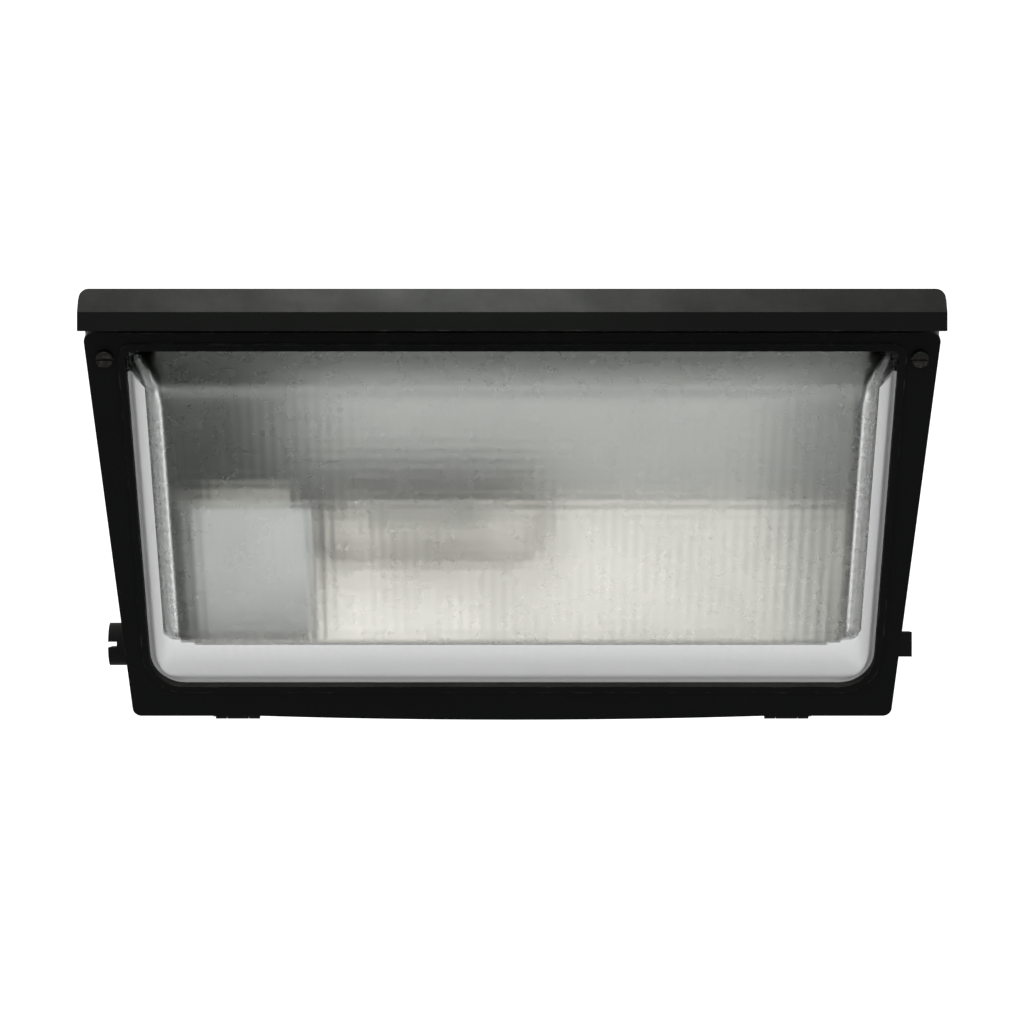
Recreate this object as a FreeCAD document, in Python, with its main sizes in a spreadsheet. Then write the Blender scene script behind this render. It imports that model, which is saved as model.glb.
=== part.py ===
"""Wall pack light: a die-cast housing with a drop-down door, a prismatic glass
refractor, a lamp in a folded reflector, and the ballast gear behind it.

Millimetres. The wall plane is Y = 0 and the light faces -Y, with +Z up and
the origin at the middle of the housing's back face. The door and everything
on it is drawn upright, with its front face in Y = 0 and its bottom edge on
Z = 0, and is then leaned outwards at the top by front_tilt.
"""
import FreeCAD, Part
import os
import re
import Sketcher
from FreeCAD import Placement, Rotation, Vector

os.makedirs("parts", exist_ok=True)
doc = FreeCAD.newDocument("WallPackLight")
sheet = doc.addObject("Spreadsheet::Sheet", "Sizes")

SIZES = [
    # the housing's outer shape
    ("top_z", 117.5, "height of the hood's top face"),
    ("lip_z", 94.5, "lower edge of the hood's front lip"),
    ("hood_depth", 230, "wall plane to the front of the hood lip"),
    ("hood_half", 231.2, "half the width of the hood lip"),
    ("lip_over", 0.1, "how far the hood lip stands past each side"),
    ("side_half", "=hood_half - lip_over", "half the width of the housing behind the lip"),
    ("side_taper", 4.5, "degrees that each side leans in towards the bottom"),
    ("wall_draft", 3, "how much each side draws in from the lip to the wall"),
    ("wall", 4, "thickness of the cast walls"),
    ("cheek_z", 101, "lower edge of the hood's end cheeks"),
    ("lip_thick", 5, "thickness of the hood lip"),
    ("lip_bevel", 13, "height of the bevel along the lip's top"),
    ("bevel_deep", 9, "depth of the bevel along the lip's top"),
    ("corner_round", 5, "radius of the casting's long edges"),
    ("inner_round", 3, "radius of the lip's ends and of the edges inside"),
    ("bite", 1, "overlap of shapes that are joined or cut"),
    ("beyond", 40, "how far cutting shapes run past the casting"),
    ("hair", 0.01, "allowance where an edge is picked by its length"),
    # the leaning door opening
    ("front_tilt", 23.5, "degrees that the door leans out at the top"),
    ("door_foot_z", -116.2, "height of the door's bottom front edge"),
    ("door_drop", 8, "how far the door hangs below the housing"),
    ("floor_z", "=door_foot_z + door_drop", "underside of the housing"),
    ("hood_over", 17.34, "how far the hood reaches past the door's face at the lip"),
    ("door_foot_y", "=hood_depth - hood_over - (lip_z - door_foot_z)*tan(front_tilt)",
     "wall plane to the door's bottom front edge"),
    ("rim_back", 14.5, "door front to the housing's rim, square to the door"),
    ("rim_thick", 5, "thickness of the rim flange"),
    ("rim_side", 10, "width of the rim flange at the sides"),
    ("rim_low", 7, "width of the rim flange below the mouth"),
    ("mouth_low_z", "=floor_z + rim_low", "lower edge of the housing's mouth"),
    ("mouth_high_z", 92.5, "upper edge of the housing's mouth"),
    # the door frame
    ("lip_clear", 0.33, "door's top edge to the hood lip"),
    ("door_len", "=(lip_z - door_foot_z - lip_clear)/cos(front_tilt)",
     "door length along its slope"),
    ("door_inset", 0.5, "door edge inside the housing's outline"),
    ("door_deep", 12, "depth of the door's skirt"),
    ("door_plate", 4, "thickness of the door's face"),
    ("skirt", 3.5, "thickness of the door's skirt"),
    ("door_crown", 2.5, "bow of the door's bottom edge"),
    ("view_low", 19, "bottom of the glass opening above the door's foot"),
    ("top_bar", 10, "door above the glass opening"),
    ("view_high", "=door_len - top_bar", "top of the glass opening above the door's foot"),
    ("side_bar_low", 29.6, "housing's half width to the opening's, at its bottom"),
    ("view_half_low", "=side_half - side_bar_low", "half width of the opening at its bottom"),
    ("side_bar_high", 23.1, "housing's half width to the opening's, at its top"),
    ("view_half_high", "=side_half - side_bar_high", "half width of the opening at its top"),
    ("view_round", 19, "radius of the opening's bottom corners"),
    ("view_round_high", 4, "radius of the opening's top corners"),
    ("bead_wide", 4, "width of the raised bead round the opening"),
    ("bead_high", 1.5, "height of the raised bead"),
    # hinge
    ("pin_behind", 16, "door's foot back to the hinge axis"),
    ("pin_y", "=door_foot_y - pin_behind", "wall plane to the hinge axis"),
    ("pin_up", 2.5, "door's foot up to the hinge axis"),
    ("pin_z", "=door_foot_z + pin_up", "height of the hinge axis"),
    ("pin_r", 2.5, "radius of the hinge pins"),
    ("knuckle_r", 5, "radius of the hinge knuckles and lugs"),
    ("knuckle_len", 12, "length of a door knuckle"),
    ("lug_len", 6, "length of a housing lug"),
    ("hinge_in", 76, "housing's side to the middle of a knuckle"),
    ("hinge_x", "=side_half - hinge_in", "middle of the door to the middle of a knuckle"),
    ("arm_front", 3.5, "how far a knuckle's arm reaches forward of it"),
    ("arm_low", 3, "hinge axis to the arm's underside"),
    ("arm_high", 2, "hinge axis to the arm's top"),
    ("hinge_gap", 0.4, "side gap between knuckle and lug"),
    ("pin_run", 0.06, "running clearance of the pins in the knuckles"),
    ("pin_head_r", 3.8, "radius of a hinge pin's head"),
    ("pin_head_len", 1.6, "length of a hinge pin's head"),
    # refractor glass
    ("glass_gap", 1.5, "glass to the edge of the opening"),
    ("glass_lap", 4, "glass flange beyond the opening"),
    ("glass_thick", 4, "thickness of the glass"),
    ("glass_seal", 1.5, "thickness of the seal under the glass flange"),
    ("seal_back", 0.5, "glass seal to the edge of the opening"),
    ("glass_proud", 26, "how far the glass stands out of the door"),
    ("pan_in_side", 13.5, "slope of the pan's side walls, as inset"),
    ("pan_in_top", 11, "slope of the pan's top wall, as inset"),
    ("pan_in_low", 30, "slope of the pan's bottom wall, as inset"),
    ("pan_round", 12, "radius of the pan's lower edge"),
    # seals
    ("seal_wide", 5, "width of the door seal"),
    ("seal_gap", 0.3, "door seal to the door's skirt"),
    ("seal_low", 1.5, "door's foot to the lower edge of the door seal"),
    ("seal_high", 0.5, "door's top edge to the upper edge of the door seal"),
    ("seal_side", 1, "door's side to the edge of the door seal"),
    # reflector
    ("sheet_thick", 1.5, "thickness of the reflector sheet"),
    ("refl_in", 37.1, "housing's side to the reflector's end"),
    ("refl_half", "=side_half - refl_in", "half width of the reflector"),
    ("fold_share", 1.4, "sheet thickness, times this, along the slanting panels"),
    ("refl_back_y", 82, "wall plane to the reflector's back strip"),
    ("refl_strip", 9, "height of the reflector's flat back strip"),
    ("refl_high_z", 98, "top front edge of the reflector"),
    ("refl_over", 3, "mouth's lower edge to the reflector's front edge"),
    ("refl_low_z", "=mouth_low_z + refl_over", "bottom front edge of the reflector"),
    ("rim_gap", 0.3, "reflector to the back of the rim flange"),
    ("post_left_x", 100, "middle to the left reflector post"),
    ("post_in", 29, "reflector's right end to its post"),
    ("post_right_x", "=refl_half - post_in", "middle to the right reflector post"),
    ("post_r", 6, "radius of a reflector post"),
    ("post_screw_len", 10, "length of a reflector screw under its head"),
    ("post_tap_deep", 14, "depth of a post's screw hole"),
    # lamp and lampholder
    ("lamp_ahead", 43, "reflector's back to the lamp axis"),
    ("lamp_y", "=refl_back_y + lamp_ahead", "wall plane to the lamp axis"),
    ("lamp_z", -5, "height of the lamp axis"),
    ("bulb_r", 27, "radius of the lamp's glass"),
    ("bulb_len", 88, "length of the lamp's straight glass"),
    ("bulb_wall", 1.2, "thickness of the lamp's glass"),
    ("base_r", 13, "radius of the lamp's screw base"),
    ("base_len", 25, "length of the lamp's screw base"),
    ("neck_len", 30, "length of the lamp's neck"),
    ("arc_r", 4, "radius of the arc tube"),
    ("arc_start", 8, "end of the neck to the arc tube"),
    ("arc_len", 64, "length of the arc tube"),
    ("arc_wire_r", 1, "radius of the wires that carry the arc tube"),
    ("arc_tail_len", 16, "length of the wire past the arc tube"),
    ("tip_len", 2, "length of the contact at the base's end"),
    ("tip_r", 4, "radius of the contact at the base's end"),
    ("collar_len", 3, "length of the collar between base and glass"),
    ("collar_gap", 0.5, "lampholder to the lamp's collar"),
    ("socket_r", 19.5, "radius of the porcelain lampholder"),
    ("socket_len", 46, "length of the porcelain lampholder"),
    ("socket_in", 24, "reflector's end to the back of the lampholder's barrel"),
    ("socket_x", "=socket_in - refl_half", "back of the lampholder's barrel"),
    ("socket_heel_r", 14, "radius of the lampholder's heel"),
    ("cover_high", 2, "top edge of the lampholder's cover"),
    ("cover_low", -72, "bottom edge of the lampholder's cover"),
    ("cover_long", 82, "reflector's end to the right face of the lampholder's cover"),
    ("cover_right", "=cover_long - refl_half", "right face of the lampholder's cover"),
    ("cover_front", 1, "rim to the front edge of the lampholder's cover"),
    ("shell_wall", 0.8, "thickness of the lampholder's screw shell"),
    ("shell_gap", 0.05, "lamp base to screw shell"),
    ("shell_floor", 1, "thickness of the screw shell's end"),
    ("well_room", 28, "depth of the lampholder's well"),
    # control gear on the back wall
    ("gear_gap", 0.3, "clearance between gear pieces"),
    ("foot_thick", 2, "thickness of the gear brackets"),
    ("foot_hole", 6, "gear to the screw hole in its bracket"),
    ("foot_short", 10, "how much shorter a ballast bracket is than the core, each end"),
    ("core_wide", 78, "width of the ballast core"),
    ("post_room", 1, "ballast bracket to the right reflector post"),
    ("core_x", "=post_right_x - post_r - post_room - 2*foot_hole - core_wide",
     "left face of the ballast core"),
    ("core_deep", 54, "depth of the ballast core"),
    ("core_high", 66, "height of the ballast core"),
    ("core_z", -32, "underside of the ballast core"),
    ("coil_out", 11, "how far the coil stands out of the core's ends"),
    ("ear_high", 12, "height of an ignitor ear"),
    ("cap_r", 22, "radius of the capacitor can"),
    ("cap_len", 92, "length of the capacitor can"),
    ("cap_x", -122, "left end of the capacitor can"),
    ("cap_z", 66, "height of the capacitor's axis"),
    ("stud_r", 3, "radius of a capacitor terminal"),
    ("stud_len", 6, "length of a capacitor terminal"),
    ("stud_half", 8, "half the spacing of the capacitor's terminals"),
    ("clamp_wide", 16, "width of the capacitor's clamp"),
    ("clamp_tab", 16, "can to the lower edge of its clamp"),
    ("clamp_hole", 9, "can to the screw hole in its clamp"),
    ("ign_wide", 46, "width of the ignitor"),
    ("ign_high", 34, "height of the ignitor"),
    ("ign_deep", 30, "depth of the ignitor"),
    ("ign_x", -118, "left end of the ignitor"),
    ("ign_z", -62, "underside of the ignitor"),
    ("term_wide", 44, "width of the terminal block"),
    ("term_high", 16, "height of the terminal block"),
    ("term_deep", 18, "depth of the terminal block"),
    ("term_x", -24, "left end of the terminal block"),
    ("term_z", -62, "underside of the terminal block"),
    ("well_r", 4.3, "radius of the wells for the terminal screws"),
    ("well_deep", 7, "depth of the wells for the terminal screws"),
    ("term_screw_r", 1.5, "radius of a terminal screw"),
    ("term_screw_len", 4, "length of a terminal screw"),
    ("ground_x", 22, "terminal block to the ground screw"),
    ("small_screw_r", 2, "radius of the small screws"),
    ("small_head_r", 4, "radius of the small screw heads"),
    ("small_head_len", 2.2, "height of the small screw heads"),
    ("small_slot", 1, "width of the slots in the small screws"),
    ("small_slot_deep", 0.8, "depth of the slots in the small screws"),
    ("tap_deep", 2.5, "how far the gear's screws enter the back wall"),
    # wall fixing
    ("lag_half_x", 150, "half the spacing of the wall bolts across"),
    ("lag_half_z", 65, "half the spacing of the wall bolts up"),
    ("lag_hole_r", 3.5, "radius of the wall bolt holes"),
    ("box_half_x", 44.45, "half the spacing of the outlet box screws"),
    ("box_z", 20, "height of the outlet box screws and the wire entry"),
    ("box_hole_r", 2.5, "radius of the outlet box screw holes"),
    ("entry_r", 11, "radius of the wire entry"),
    # conduit hubs
    ("hub_y", 60, "wall plane to the side hubs' axis"),
    ("hub_z", -78, "height of the side hubs' axis"),
    ("hub_r", 15, "radius of the side hubs"),
    ("hub_in", 9.1, "lip side of the housing to the outer face of a hub"),
    ("hub_end_x", "=side_half - hub_in", "middle to the outer face of a side hub"),
    ("hub_root", 30, "housing's side to the inner end of a hub"),
    ("thread_r", 10.5, "radius of the hub threads"),
    ("plug_gap", 0.02, "plug to hub thread"),
    ("plug_len", 12, "length of a plug's threaded shank"),
    ("slot_head_r", 12.3, "radius of the slotted plug's head"),
    ("slot_head_len", 10.5, "height of the slotted plug's head"),
    ("slot_wide", 3.2, "width of the slot in the plug"),
    ("slot_deep", 5, "depth of the slot in the plug"),
    ("square_head", 14.3, "width of the square plug head"),
    ("square_len", 8.5, "height of the square plug head"),
    # captive door screws
    ("door_screw_in", 12, "housing's side to a captive door screw"),
    ("door_screw_x", "=side_half - door_screw_in", "middle to a captive door screw"),
    ("door_screw_down", 14, "door's top edge to a captive door screw"),
    ("door_screw_up", "=door_len - door_screw_down", "door's foot to a captive door screw"),
    ("door_screw_r", 2.5, "radius of a captive door screw"),
    ("door_head_r", 4.6, "radius of a captive screw's head"),
    ("door_head_len", 3.4, "height of a captive screw's head"),
    ("door_slot", 1.2, "width of the slot in a captive screw"),
    ("door_slot_deep", 1.6, "depth of the slot in a captive screw"),
    ("door_boss_r", 5, "radius of the bosses in the door for its screws"),
    ("door_screw_len", 19.5, "length of a captive screw under its head"),
    ("screw_boss_r", 6, "radius of the bosses for the captive screws"),
    ("screw_boss_len", 16, "length of the rim's captive screw bosses"),
    ("screw_run", 0.08, "clearance round the captive screws in the door"),
    ("tap_run", 0.3, "clearance round the captive screws in the rim"),
    # glass clips
    ("clip_wide", 12, "width of a glass clip"),
    ("clip_long", 12, "length of a glass clip"),
    ("clip_thick", 1.2, "thickness of a glass clip"),
    ("clip_over", 3, "how far a clip laps the glass flange"),
    ("clip_x", 140, "middle to an outer bottom clip"),
    ("clip_down", 42, "door's top edge to a side clip"),
    ("clip_up", "=door_len - clip_down", "door's foot to a side clip"),
    ("clip_screw_len", 5.5, "length of a clip screw under its head"),
    ("screw_end", 0.7, "room past the end of a clip screw"),
    ("clip_boss_r", 3, "radius of the clip bosses on the door"),
    ("clip_gap", 0.5, "clip bosses to the glass flange"),
]
NAMES = set()
for row, (alias, value, note) in enumerate(SIZES, start=1):
    sheet.set(f"A{row}", note)
    sheet.set(f"B{row}", str(value))
    sheet.setAlias(f"B{row}", alias)
    NAMES.add(alias)
doc.recompute()


# ---- helpers ---------------------------------------------------------------
def full(text):
    """The expression with each size's name written as a cell of the sheet."""
    return re.sub(r"[a-z_]+", lambda m: "Sizes." + m[0] if m[0] in NAMES else m[0], str(text))


def size(text):
    """The expression's value, in millimetres or degrees."""
    return float(sheet.evalExpression(full(text)))


def bind(obj, prop, text):
    obj.setExpression(prop, full(text))


def place(obj, x="0", y="0", z="0", axis=(1, 0, 0), angle="0"):
    """Binds an object's place, and its turn about one axis, to the sheet."""
    obj.Placement = Placement(Vector(size(x), size(y), size(z)), Rotation(Vector(*axis), 1))
    for letter, text in zip("xyz", (x, y, z)):
        bind(obj, "Placement.Base." + letter, text)
    bind(obj, "Placement.Rotation.Angle", angle)
    return obj


def lean(obj):
    """Leans an upright piece of the door onto the sloping front."""
    return place(obj, "0", "-door_foot_y", "door_foot_z", (1, 0, 0), "front_tilt")


def box(name, x, y, z):
    """A block between pairs of bounds along X, Y and Z."""
    obj = doc.addObject("Part::Box", name)
    for prop, (low, high) in zip(("Length", "Width", "Height"), (x, y, z)):
        bind(obj, prop, f"({high}) - ({low})")
    return place(obj, x[0], y[0], z[0])


TURN = {"x": ((0, 1, 0), "90"), "y": ((1, 0, 0), "-90"), "z": ((0, 0, 1), "0")}


def rod(name, along, radius, length, x="0", y="0", z="0"):
    """A round bar that starts at a point and runs along +X, +Y or +Z."""
    obj = doc.addObject("Part::Cylinder", name)
    bind(obj, "Radius", radius)
    bind(obj, "Height", length)
    axis, angle = TURN[along]
    return place(obj, x, y, z, axis, angle)


def taper_rod(name, along, radius_start, radius_end, length, x="0", y="0", z="0"):
    """A cone along +X, +Y or +Z."""
    obj = doc.addObject("Part::Cone", name)
    bind(obj, "Radius1", radius_start)
    bind(obj, "Radius2", radius_end)
    bind(obj, "Height", length)
    axis, angle = TURN[along]
    return place(obj, x, y, z, axis, angle)


def join(name, pieces):
    if len(pieces) == 1:
        return pieces[0]
    obj = doc.addObject("Part::MultiFuse", name)
    obj.Shapes = pieces
    return obj


def cut(name, base, tools):
    obj = doc.addObject("Part::Cut", name)
    obj.Base = base
    obj.Tool = join(name + "_tools", tools)
    return obj


def group(name, pieces):
    """Separate like solids kept in one node."""
    obj = doc.addObject("Part::Compound", name)
    obj.Links = pieces
    return obj


def sketch(owner, name, role, points, offset="0"):
    """A closed outline on one of a body's own planes, corner by corner."""
    obj = owner.newObject("Sketcher::SketchObject", name)
    plane = next(f for f in owner.Origin.OriginFeatures if f.Role == role)
    obj.AttachmentSupport = [(plane, "")]
    obj.MapMode = "FlatFace"
    bind(obj, "AttachmentOffset.Base.z", offset)
    corners = [Vector(size(across), size(up), 0) for across, up in points]
    count = len(corners)
    for i in range(count):
        obj.addGeometry(Part.LineSegment(corners[i], corners[(i + 1) % count]))
    for i in range(count):
        obj.addConstraint(Sketcher.Constraint("Coincident", i, 2, (i + 1) % count, 1))
    for i, (across, up) in enumerate(points):
        for kind, text in (("DistanceX", across), ("DistanceY", up)):
            place_no = obj.addConstraint(Sketcher.Constraint(kind, -1, 1, i, 1, size(text)))
            bind(obj, f"Constraints[{place_no}]", text)
    return obj


def pad(owner, outline, length, reverse=False, both_ways=False):
    obj = owner.newObject("PartDesign::Pad", outline.Name + "_pad")
    obj.Profile = outline
    bind(obj, "Length", length)
    obj.Reversed = reverse
    if both_ways:
        obj.SideType = "Symmetric"
    return obj


def pocket(owner, outline, length=None, reverse=False, both_ways=False):
    """A cut square to the outline's plane, right through if no length is given."""
    obj = owner.newObject("PartDesign::Pocket", outline.Name + "_pocket")
    obj.Profile = outline
    obj.Reversed = reverse
    if both_ways:
        obj.SideType = "Symmetric"
    if length is None:
        obj.Type = "ThroughAll"
    else:
        bind(obj, "Length", length)
    return obj


def loft(owner, kind, outlines):
    obj = owner.newObject("PartDesign::" + kind, outlines[0].Name + "_loft")
    obj.Profile = outlines[0]
    obj.Sections = outlines[1:]
    obj.Ruled = True
    return obj


def round_edges(owner, radius, wanted):
    """Rounds the edges of the body so far that the test picks out."""
    doc.recompute()
    base = owner.Tip
    names = [f"Edge{i}" for i, edge in enumerate(base.Shape.Edges, start=1) if wanted(edge)]
    obj = owner.newObject("PartDesign::Fillet", owner.Name + f"_round{len(owner.Group)}")
    obj.Base = (base, names)
    bind(obj, "Radius", radius)
    return obj


def runs_along(edge, letter, share=0.85):
    """Whether a straight edge lies mainly along an axis."""
    step = edge.Vertexes[-1].Point - edge.Vertexes[0].Point
    return step.Length > 0 and abs(getattr(step, letter)) > share * step.Length


def new_body(name):
    return doc.addObject("PartDesign::Body", name)


NODES = []


def keep(obj, label):
    """Names a finished piece and puts it on the list to be written."""
    obj.Label = label
    NODES.append(obj)
    return obj


# ---- shared places ---------------------------------------------------------
def side_at(y, z):
    """Half the housing's width at a distance from the wall and a height."""
    return (f"(side_half - (lip_z - ({z}))*tan(side_taper)"
            f" - wall_draft*(1 - ({y})/hood_depth))")


def leaned_y(up, deep):
    """Distance from the wall of a point of the door's own frame."""
    return f"(door_foot_y + ({up})*sin(front_tilt) - ({deep})*cos(front_tilt))"


def leaned_z(up, deep):
    """Height of a point of the door's own frame."""
    return f"(door_foot_z + ({up})*cos(front_tilt) + ({deep})*sin(front_tilt))"


def slope_y(z, deep):
    """Distance from the wall of the plane that lies deep behind the door's face."""
    return (f"(door_foot_y + (({z}) - door_foot_z)*tan(front_tilt)"
            f" - ({deep})/cos(front_tilt))")


def door_half(up, deep="0"):
    """Half the door's width at a height up its slope."""
    return f"({side_at(leaned_y(up, deep), leaned_z(up, deep))} - door_inset)"


def hexagon(inset, draft, low, high):
    """The housing seen from the front: upright beside the hood, then tapering in."""
    upper = f"side_half - ({draft}) - ({inset})"
    lower = f"side_half - ({draft}) - ({inset}) - (lip_z - ({low}))*tan(side_taper)"
    return [(f"-({upper})", high), (f"-({upper})", "lip_z"), (f"-({lower})", low),
            (lower, low), (upper, "lip_z"), (upper, high)]


def gear_screw_places():
    """Where the gear's screws enter the back wall, across and up."""
    middle = "core_z + core_high/2"
    clamp = ("cap_x + cap_len/2", "cap_z - cap_r - clamp_hole")
    ears = [(across, "ign_z + ign_high/2")
            for across in ("ign_x - foot_hole", "ign_x + ign_wide + foot_hole")]
    return [("core_x - foot_hole", middle), ("core_x + core_wide + foot_hole", middle),
            clamp] + ears


GROUND_PLACE = ("term_x + term_wide + ground_x", "term_z + term_high/2")


# ---- housing ---------------------------------------------------------------
def front_cut(owner, deep):
    """Cuts away all that lies in front of a plane parallel to the door."""
    outline = sketch(owner, owner.Name + "_front", "YZ_Plane", [
        (f"-{slope_y('cheek_z', deep)}", "cheek_z"),
        ("-(hood_depth + beyond)", "cheek_z"),
        ("-(hood_depth + beyond)", "floor_z - beyond"),
        (f"-{slope_y('floor_z - beyond', deep)}", "floor_z - beyond")])
    return pocket(owner, outline, both_ways=True)


def mouth_outline(draft):
    """Four corners of the opening that the rim flange leaves."""
    high = f"{side_at('hood_depth', 'mouth_high_z')} - ({draft}) - rim_side"
    low = f"{side_at('hood_depth', 'mouth_low_z')} - ({draft}) - rim_side"
    return [(f"-({high})", "mouth_high_z"), (f"-({low})", "mouth_low_z"),
            (low, "mouth_low_z"), (high, "mouth_high_z")]


def make_housing():
    outer = new_body("housing_outer")
    back = sketch(outer, "back_outline", "XZ_Plane", hexagon("0", "wall_draft", "floor_z", "top_z"))
    front = sketch(outer, "front_outline", "XZ_Plane", hexagon("0", "0", "floor_z", "top_z"),
                   "hood_depth")
    loft(outer, "AdditiveLoft", [back, front])
    top, floor, near = size("top_z"), size("floor_z"), size("bite")
    round_edges(outer, "corner_round", lambda e: runs_along(e, "y") and (
        e.CenterOfMass.z > top - near or e.CenterOfMass.z < floor + near))
    front_cut(outer, "rim_back")
    hood = sketch(outer, "hood_underside", "YZ_Plane", [
        (f"-{slope_y('top_z - wall', 'rim_back')}", "top_z - wall"),
        ("-(hood_depth - lip_thick - bevel_deep)", "top_z - wall"),
        ("-(hood_depth - lip_thick)", "top_z - lip_bevel"),
        ("-(hood_depth - lip_thick)", "cheek_z - bite"),
        (f"-{slope_y('cheek_z - bite', 'rim_back')}", "cheek_z - bite")])
    pocket(outer, hood, "2*(side_half - wall)", both_ways=True)

    lip = new_body("hood_lip")
    lip_side = sketch(lip, "lip_side", "YZ_Plane", [
        ("-(hood_depth - lip_thick)", "top_z"),
        ("-(hood_depth - lip_thick)", "lip_z"),
        ("-hood_depth", "lip_z"),
        ("-hood_depth", "top_z")])
    pad(lip, lip_side, "2*hood_half", both_ways=True)
    round_edges(lip, "inner_round",
                lambda e: runs_along(e, "y") and e.CenterOfMass.z > top - near)

    bevel = new_body("lip_bevel_cut")
    bevel_side = sketch(bevel, "bevel_side", "YZ_Plane", [
        ("-(hood_depth - bevel_deep)", "top_z"),
        ("-hood_depth", "top_z - lip_bevel"),
        ("-(hood_depth + beyond)", "top_z - lip_bevel"),
        ("-(hood_depth + beyond)", "top_z + beyond"),
        ("-(hood_depth - bevel_deep)", "top_z + beyond")])
    pad(bevel, bevel_side, "2*(hood_half + beyond)", both_ways=True)

    room = new_body("housing_room")
    draft = "wall_draft*(1 - wall/hood_depth)"
    room_back = sketch(room, "room_back", "XZ_Plane",
                       hexagon("wall", draft, "floor_z + wall", "top_z - wall"), "wall")
    room_front = sketch(room, "room_front", "XZ_Plane",
                        hexagon("wall", "0", "floor_z + wall", "top_z - wall"), "hood_depth")
    loft(room, "AdditiveLoft", [room_back, room_front])
    inside = size("wall + bite")
    round_edges(room, "inner_round", lambda e: runs_along(e, "y") and (
        e.CenterOfMass.z > top - inside or e.CenterOfMass.z < floor + inside))
    behind_rim = sketch(room, "behind_rim", "YZ_Plane", [
        (f"-{slope_y('top_z + beyond', 'rim_back + rim_thick')}", "top_z + beyond"),
        ("-(hood_depth + 2*beyond)", "top_z + beyond"),
        ("-(hood_depth + 2*beyond)", "floor_z - beyond"),
        (f"-{slope_y('floor_z - beyond', 'rim_back + rim_thick')}", "floor_z - beyond")])
    pocket(room, behind_rim, both_ways=True)

    mouth = new_body("housing_mouth")
    mouth_back = sketch(mouth, "mouth_back", "XZ_Plane", mouth_outline("wall_draft"))
    mouth_front = sketch(mouth, "mouth_front", "XZ_Plane", mouth_outline("0"), "hood_depth")
    loft(mouth, "AdditiveLoft", [mouth_back, mouth_front])
    behind = sketch(mouth, "behind_mouth", "YZ_Plane", [
        ("beyond", "lip_z + beyond"),
        (f"-{slope_y('lip_z + beyond', 'rim_back + rim_thick + bite')}", "lip_z + beyond"),
        (f"-{slope_y('floor_z - beyond', 'rim_back + rim_thick + bite')}", "floor_z - beyond"),
        ("beyond", "floor_z - beyond")])
    pocket(mouth, behind, both_ways=True)

    shell = cut("housing_shell", join("housing_block", [outer, lip]), [bevel, room, mouth])
    added = [shell]
    holes = []
    for hand, sign in (("left", "-1"), ("right", "1")):
        start = "-hub_end_x" if sign == "-1" else "side_half - hub_root"
        added.append(rod(f"{hand}_hub", "x", "hub_r", "hub_end_x - (side_half - hub_root)",
                         start, "-hub_y", "hub_z"))
        start = "-hub_end_x - bite" if sign == "-1" else "side_half - hub_root - bite"
        holes.append(rod(f"{hand}_hub_thread", "x", "thread_r",
                         "hub_end_x - (side_half - hub_root) + 2*bite", start, "-hub_y", "hub_z"))
        added.append(rod(f"{hand}_post", "y", "post_r", "refl_back_y - rim_gap - wall + bite",
                         f"{sign}*post_{hand}_x", "-(refl_back_y - rim_gap)"))
        holes.append(rod(f"{hand}_post_hole", "y", "small_screw_r", "post_tap_deep",
                         f"{sign}*post_{hand}_x", "-(refl_back_y + bite)"))
        boss = rod(f"{hand}_screw_boss", "y", "screw_boss_r", "screw_boss_len",
                   f"{sign}*door_screw_x", "rim_back", "door_screw_up")
        added.append(lean(join_one(f"{hand}_screw_boss_lean", boss)))
        tap = rod(f"{hand}_screw_tap", "y", "door_screw_r + tap_run", "screw_boss_len - 3*bite",
                  f"{sign}*door_screw_x", "rim_back - bite", "door_screw_up")
        holes.append(lean(join_one(f"{hand}_screw_tap_lean", tap)))
        for side, away in (("inner", "-1"), ("outer", "1")):
            near = (f"{sign}*hinge_x + {away}*(knuckle_len/2 + hinge_gap + lug_len/2)"
                    " - lug_len/2")
            lug = rod(f"{hand}_{side}_lug", "x", "knuckle_r", "lug_len", near, "-pin_y", "pin_z")
            web = box(f"{hand}_{side}_lug_web", (near, f"{near} + lug_len"),
                      ("-pin_y - knuckle_r + 2*bite", "-pin_y + knuckle_r"),
                      ("pin_z", "floor_z + bite"))
            added += [lug, web]
            holes.append(rod(f"{hand}_{side}_lug_hole", "x", "pin_r", "lug_len + 2*bite",
                             f"{near} - bite", "-pin_y", "pin_z"))
        for up, level in (("low", "-1"), ("high", "1")):
            holes.append(rod(f"{hand}_{up}_lag", "y", "lag_hole_r", "wall + 2*bite",
                             f"{sign}*lag_half_x", "-(wall + bite)", f"{level}*lag_half_z"))
        holes.append(rod(f"{hand}_box_hole", "y", "box_hole_r", "wall + 2*bite",
                         f"{sign}*box_half_x", "-(wall + bite)", "box_z"))
    for number, (across, up) in enumerate(gear_screw_places() + [GROUND_PLACE]):
        holes.append(rod(f"gear_tap_{number}", "y", "small_screw_r", "tap_deep + bite",
                         across, "-(wall + bite)", up))
    holes.append(rod("wire_entry", "y", "entry_r", "wall + 2*bite", "0", "-(wall + bite)", "box_z"))
    return keep(cut("housing", join("housing_cast", added), holes), "housing")


def join_one(name, piece):
    """Wraps a primitive so that it can be leaned as a whole."""
    obj = doc.addObject("Part::Compound", name)
    obj.Links = [piece]
    return obj


# ---- door ------------------------------------------------------------------
def door_outline(inset, low, high, deep="0"):
    """Four corners of the door, drawn in by an inset at its sides."""
    return [(f"-({door_half(high, deep)} - ({inset}))", high),
            (f"-({door_half(low, deep)} - ({inset}))", low),
            (f"{door_half(low, deep)} - ({inset})", low),
            (f"{door_half(high, deep)} - ({inset})", high)]


def view_half(up):
    """Half width of the glass opening at a height up the door."""
    return (f"(view_half_low + (view_half_high - view_half_low)"
            f"*(({up}) - view_low)/(view_high - view_low))")


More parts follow.
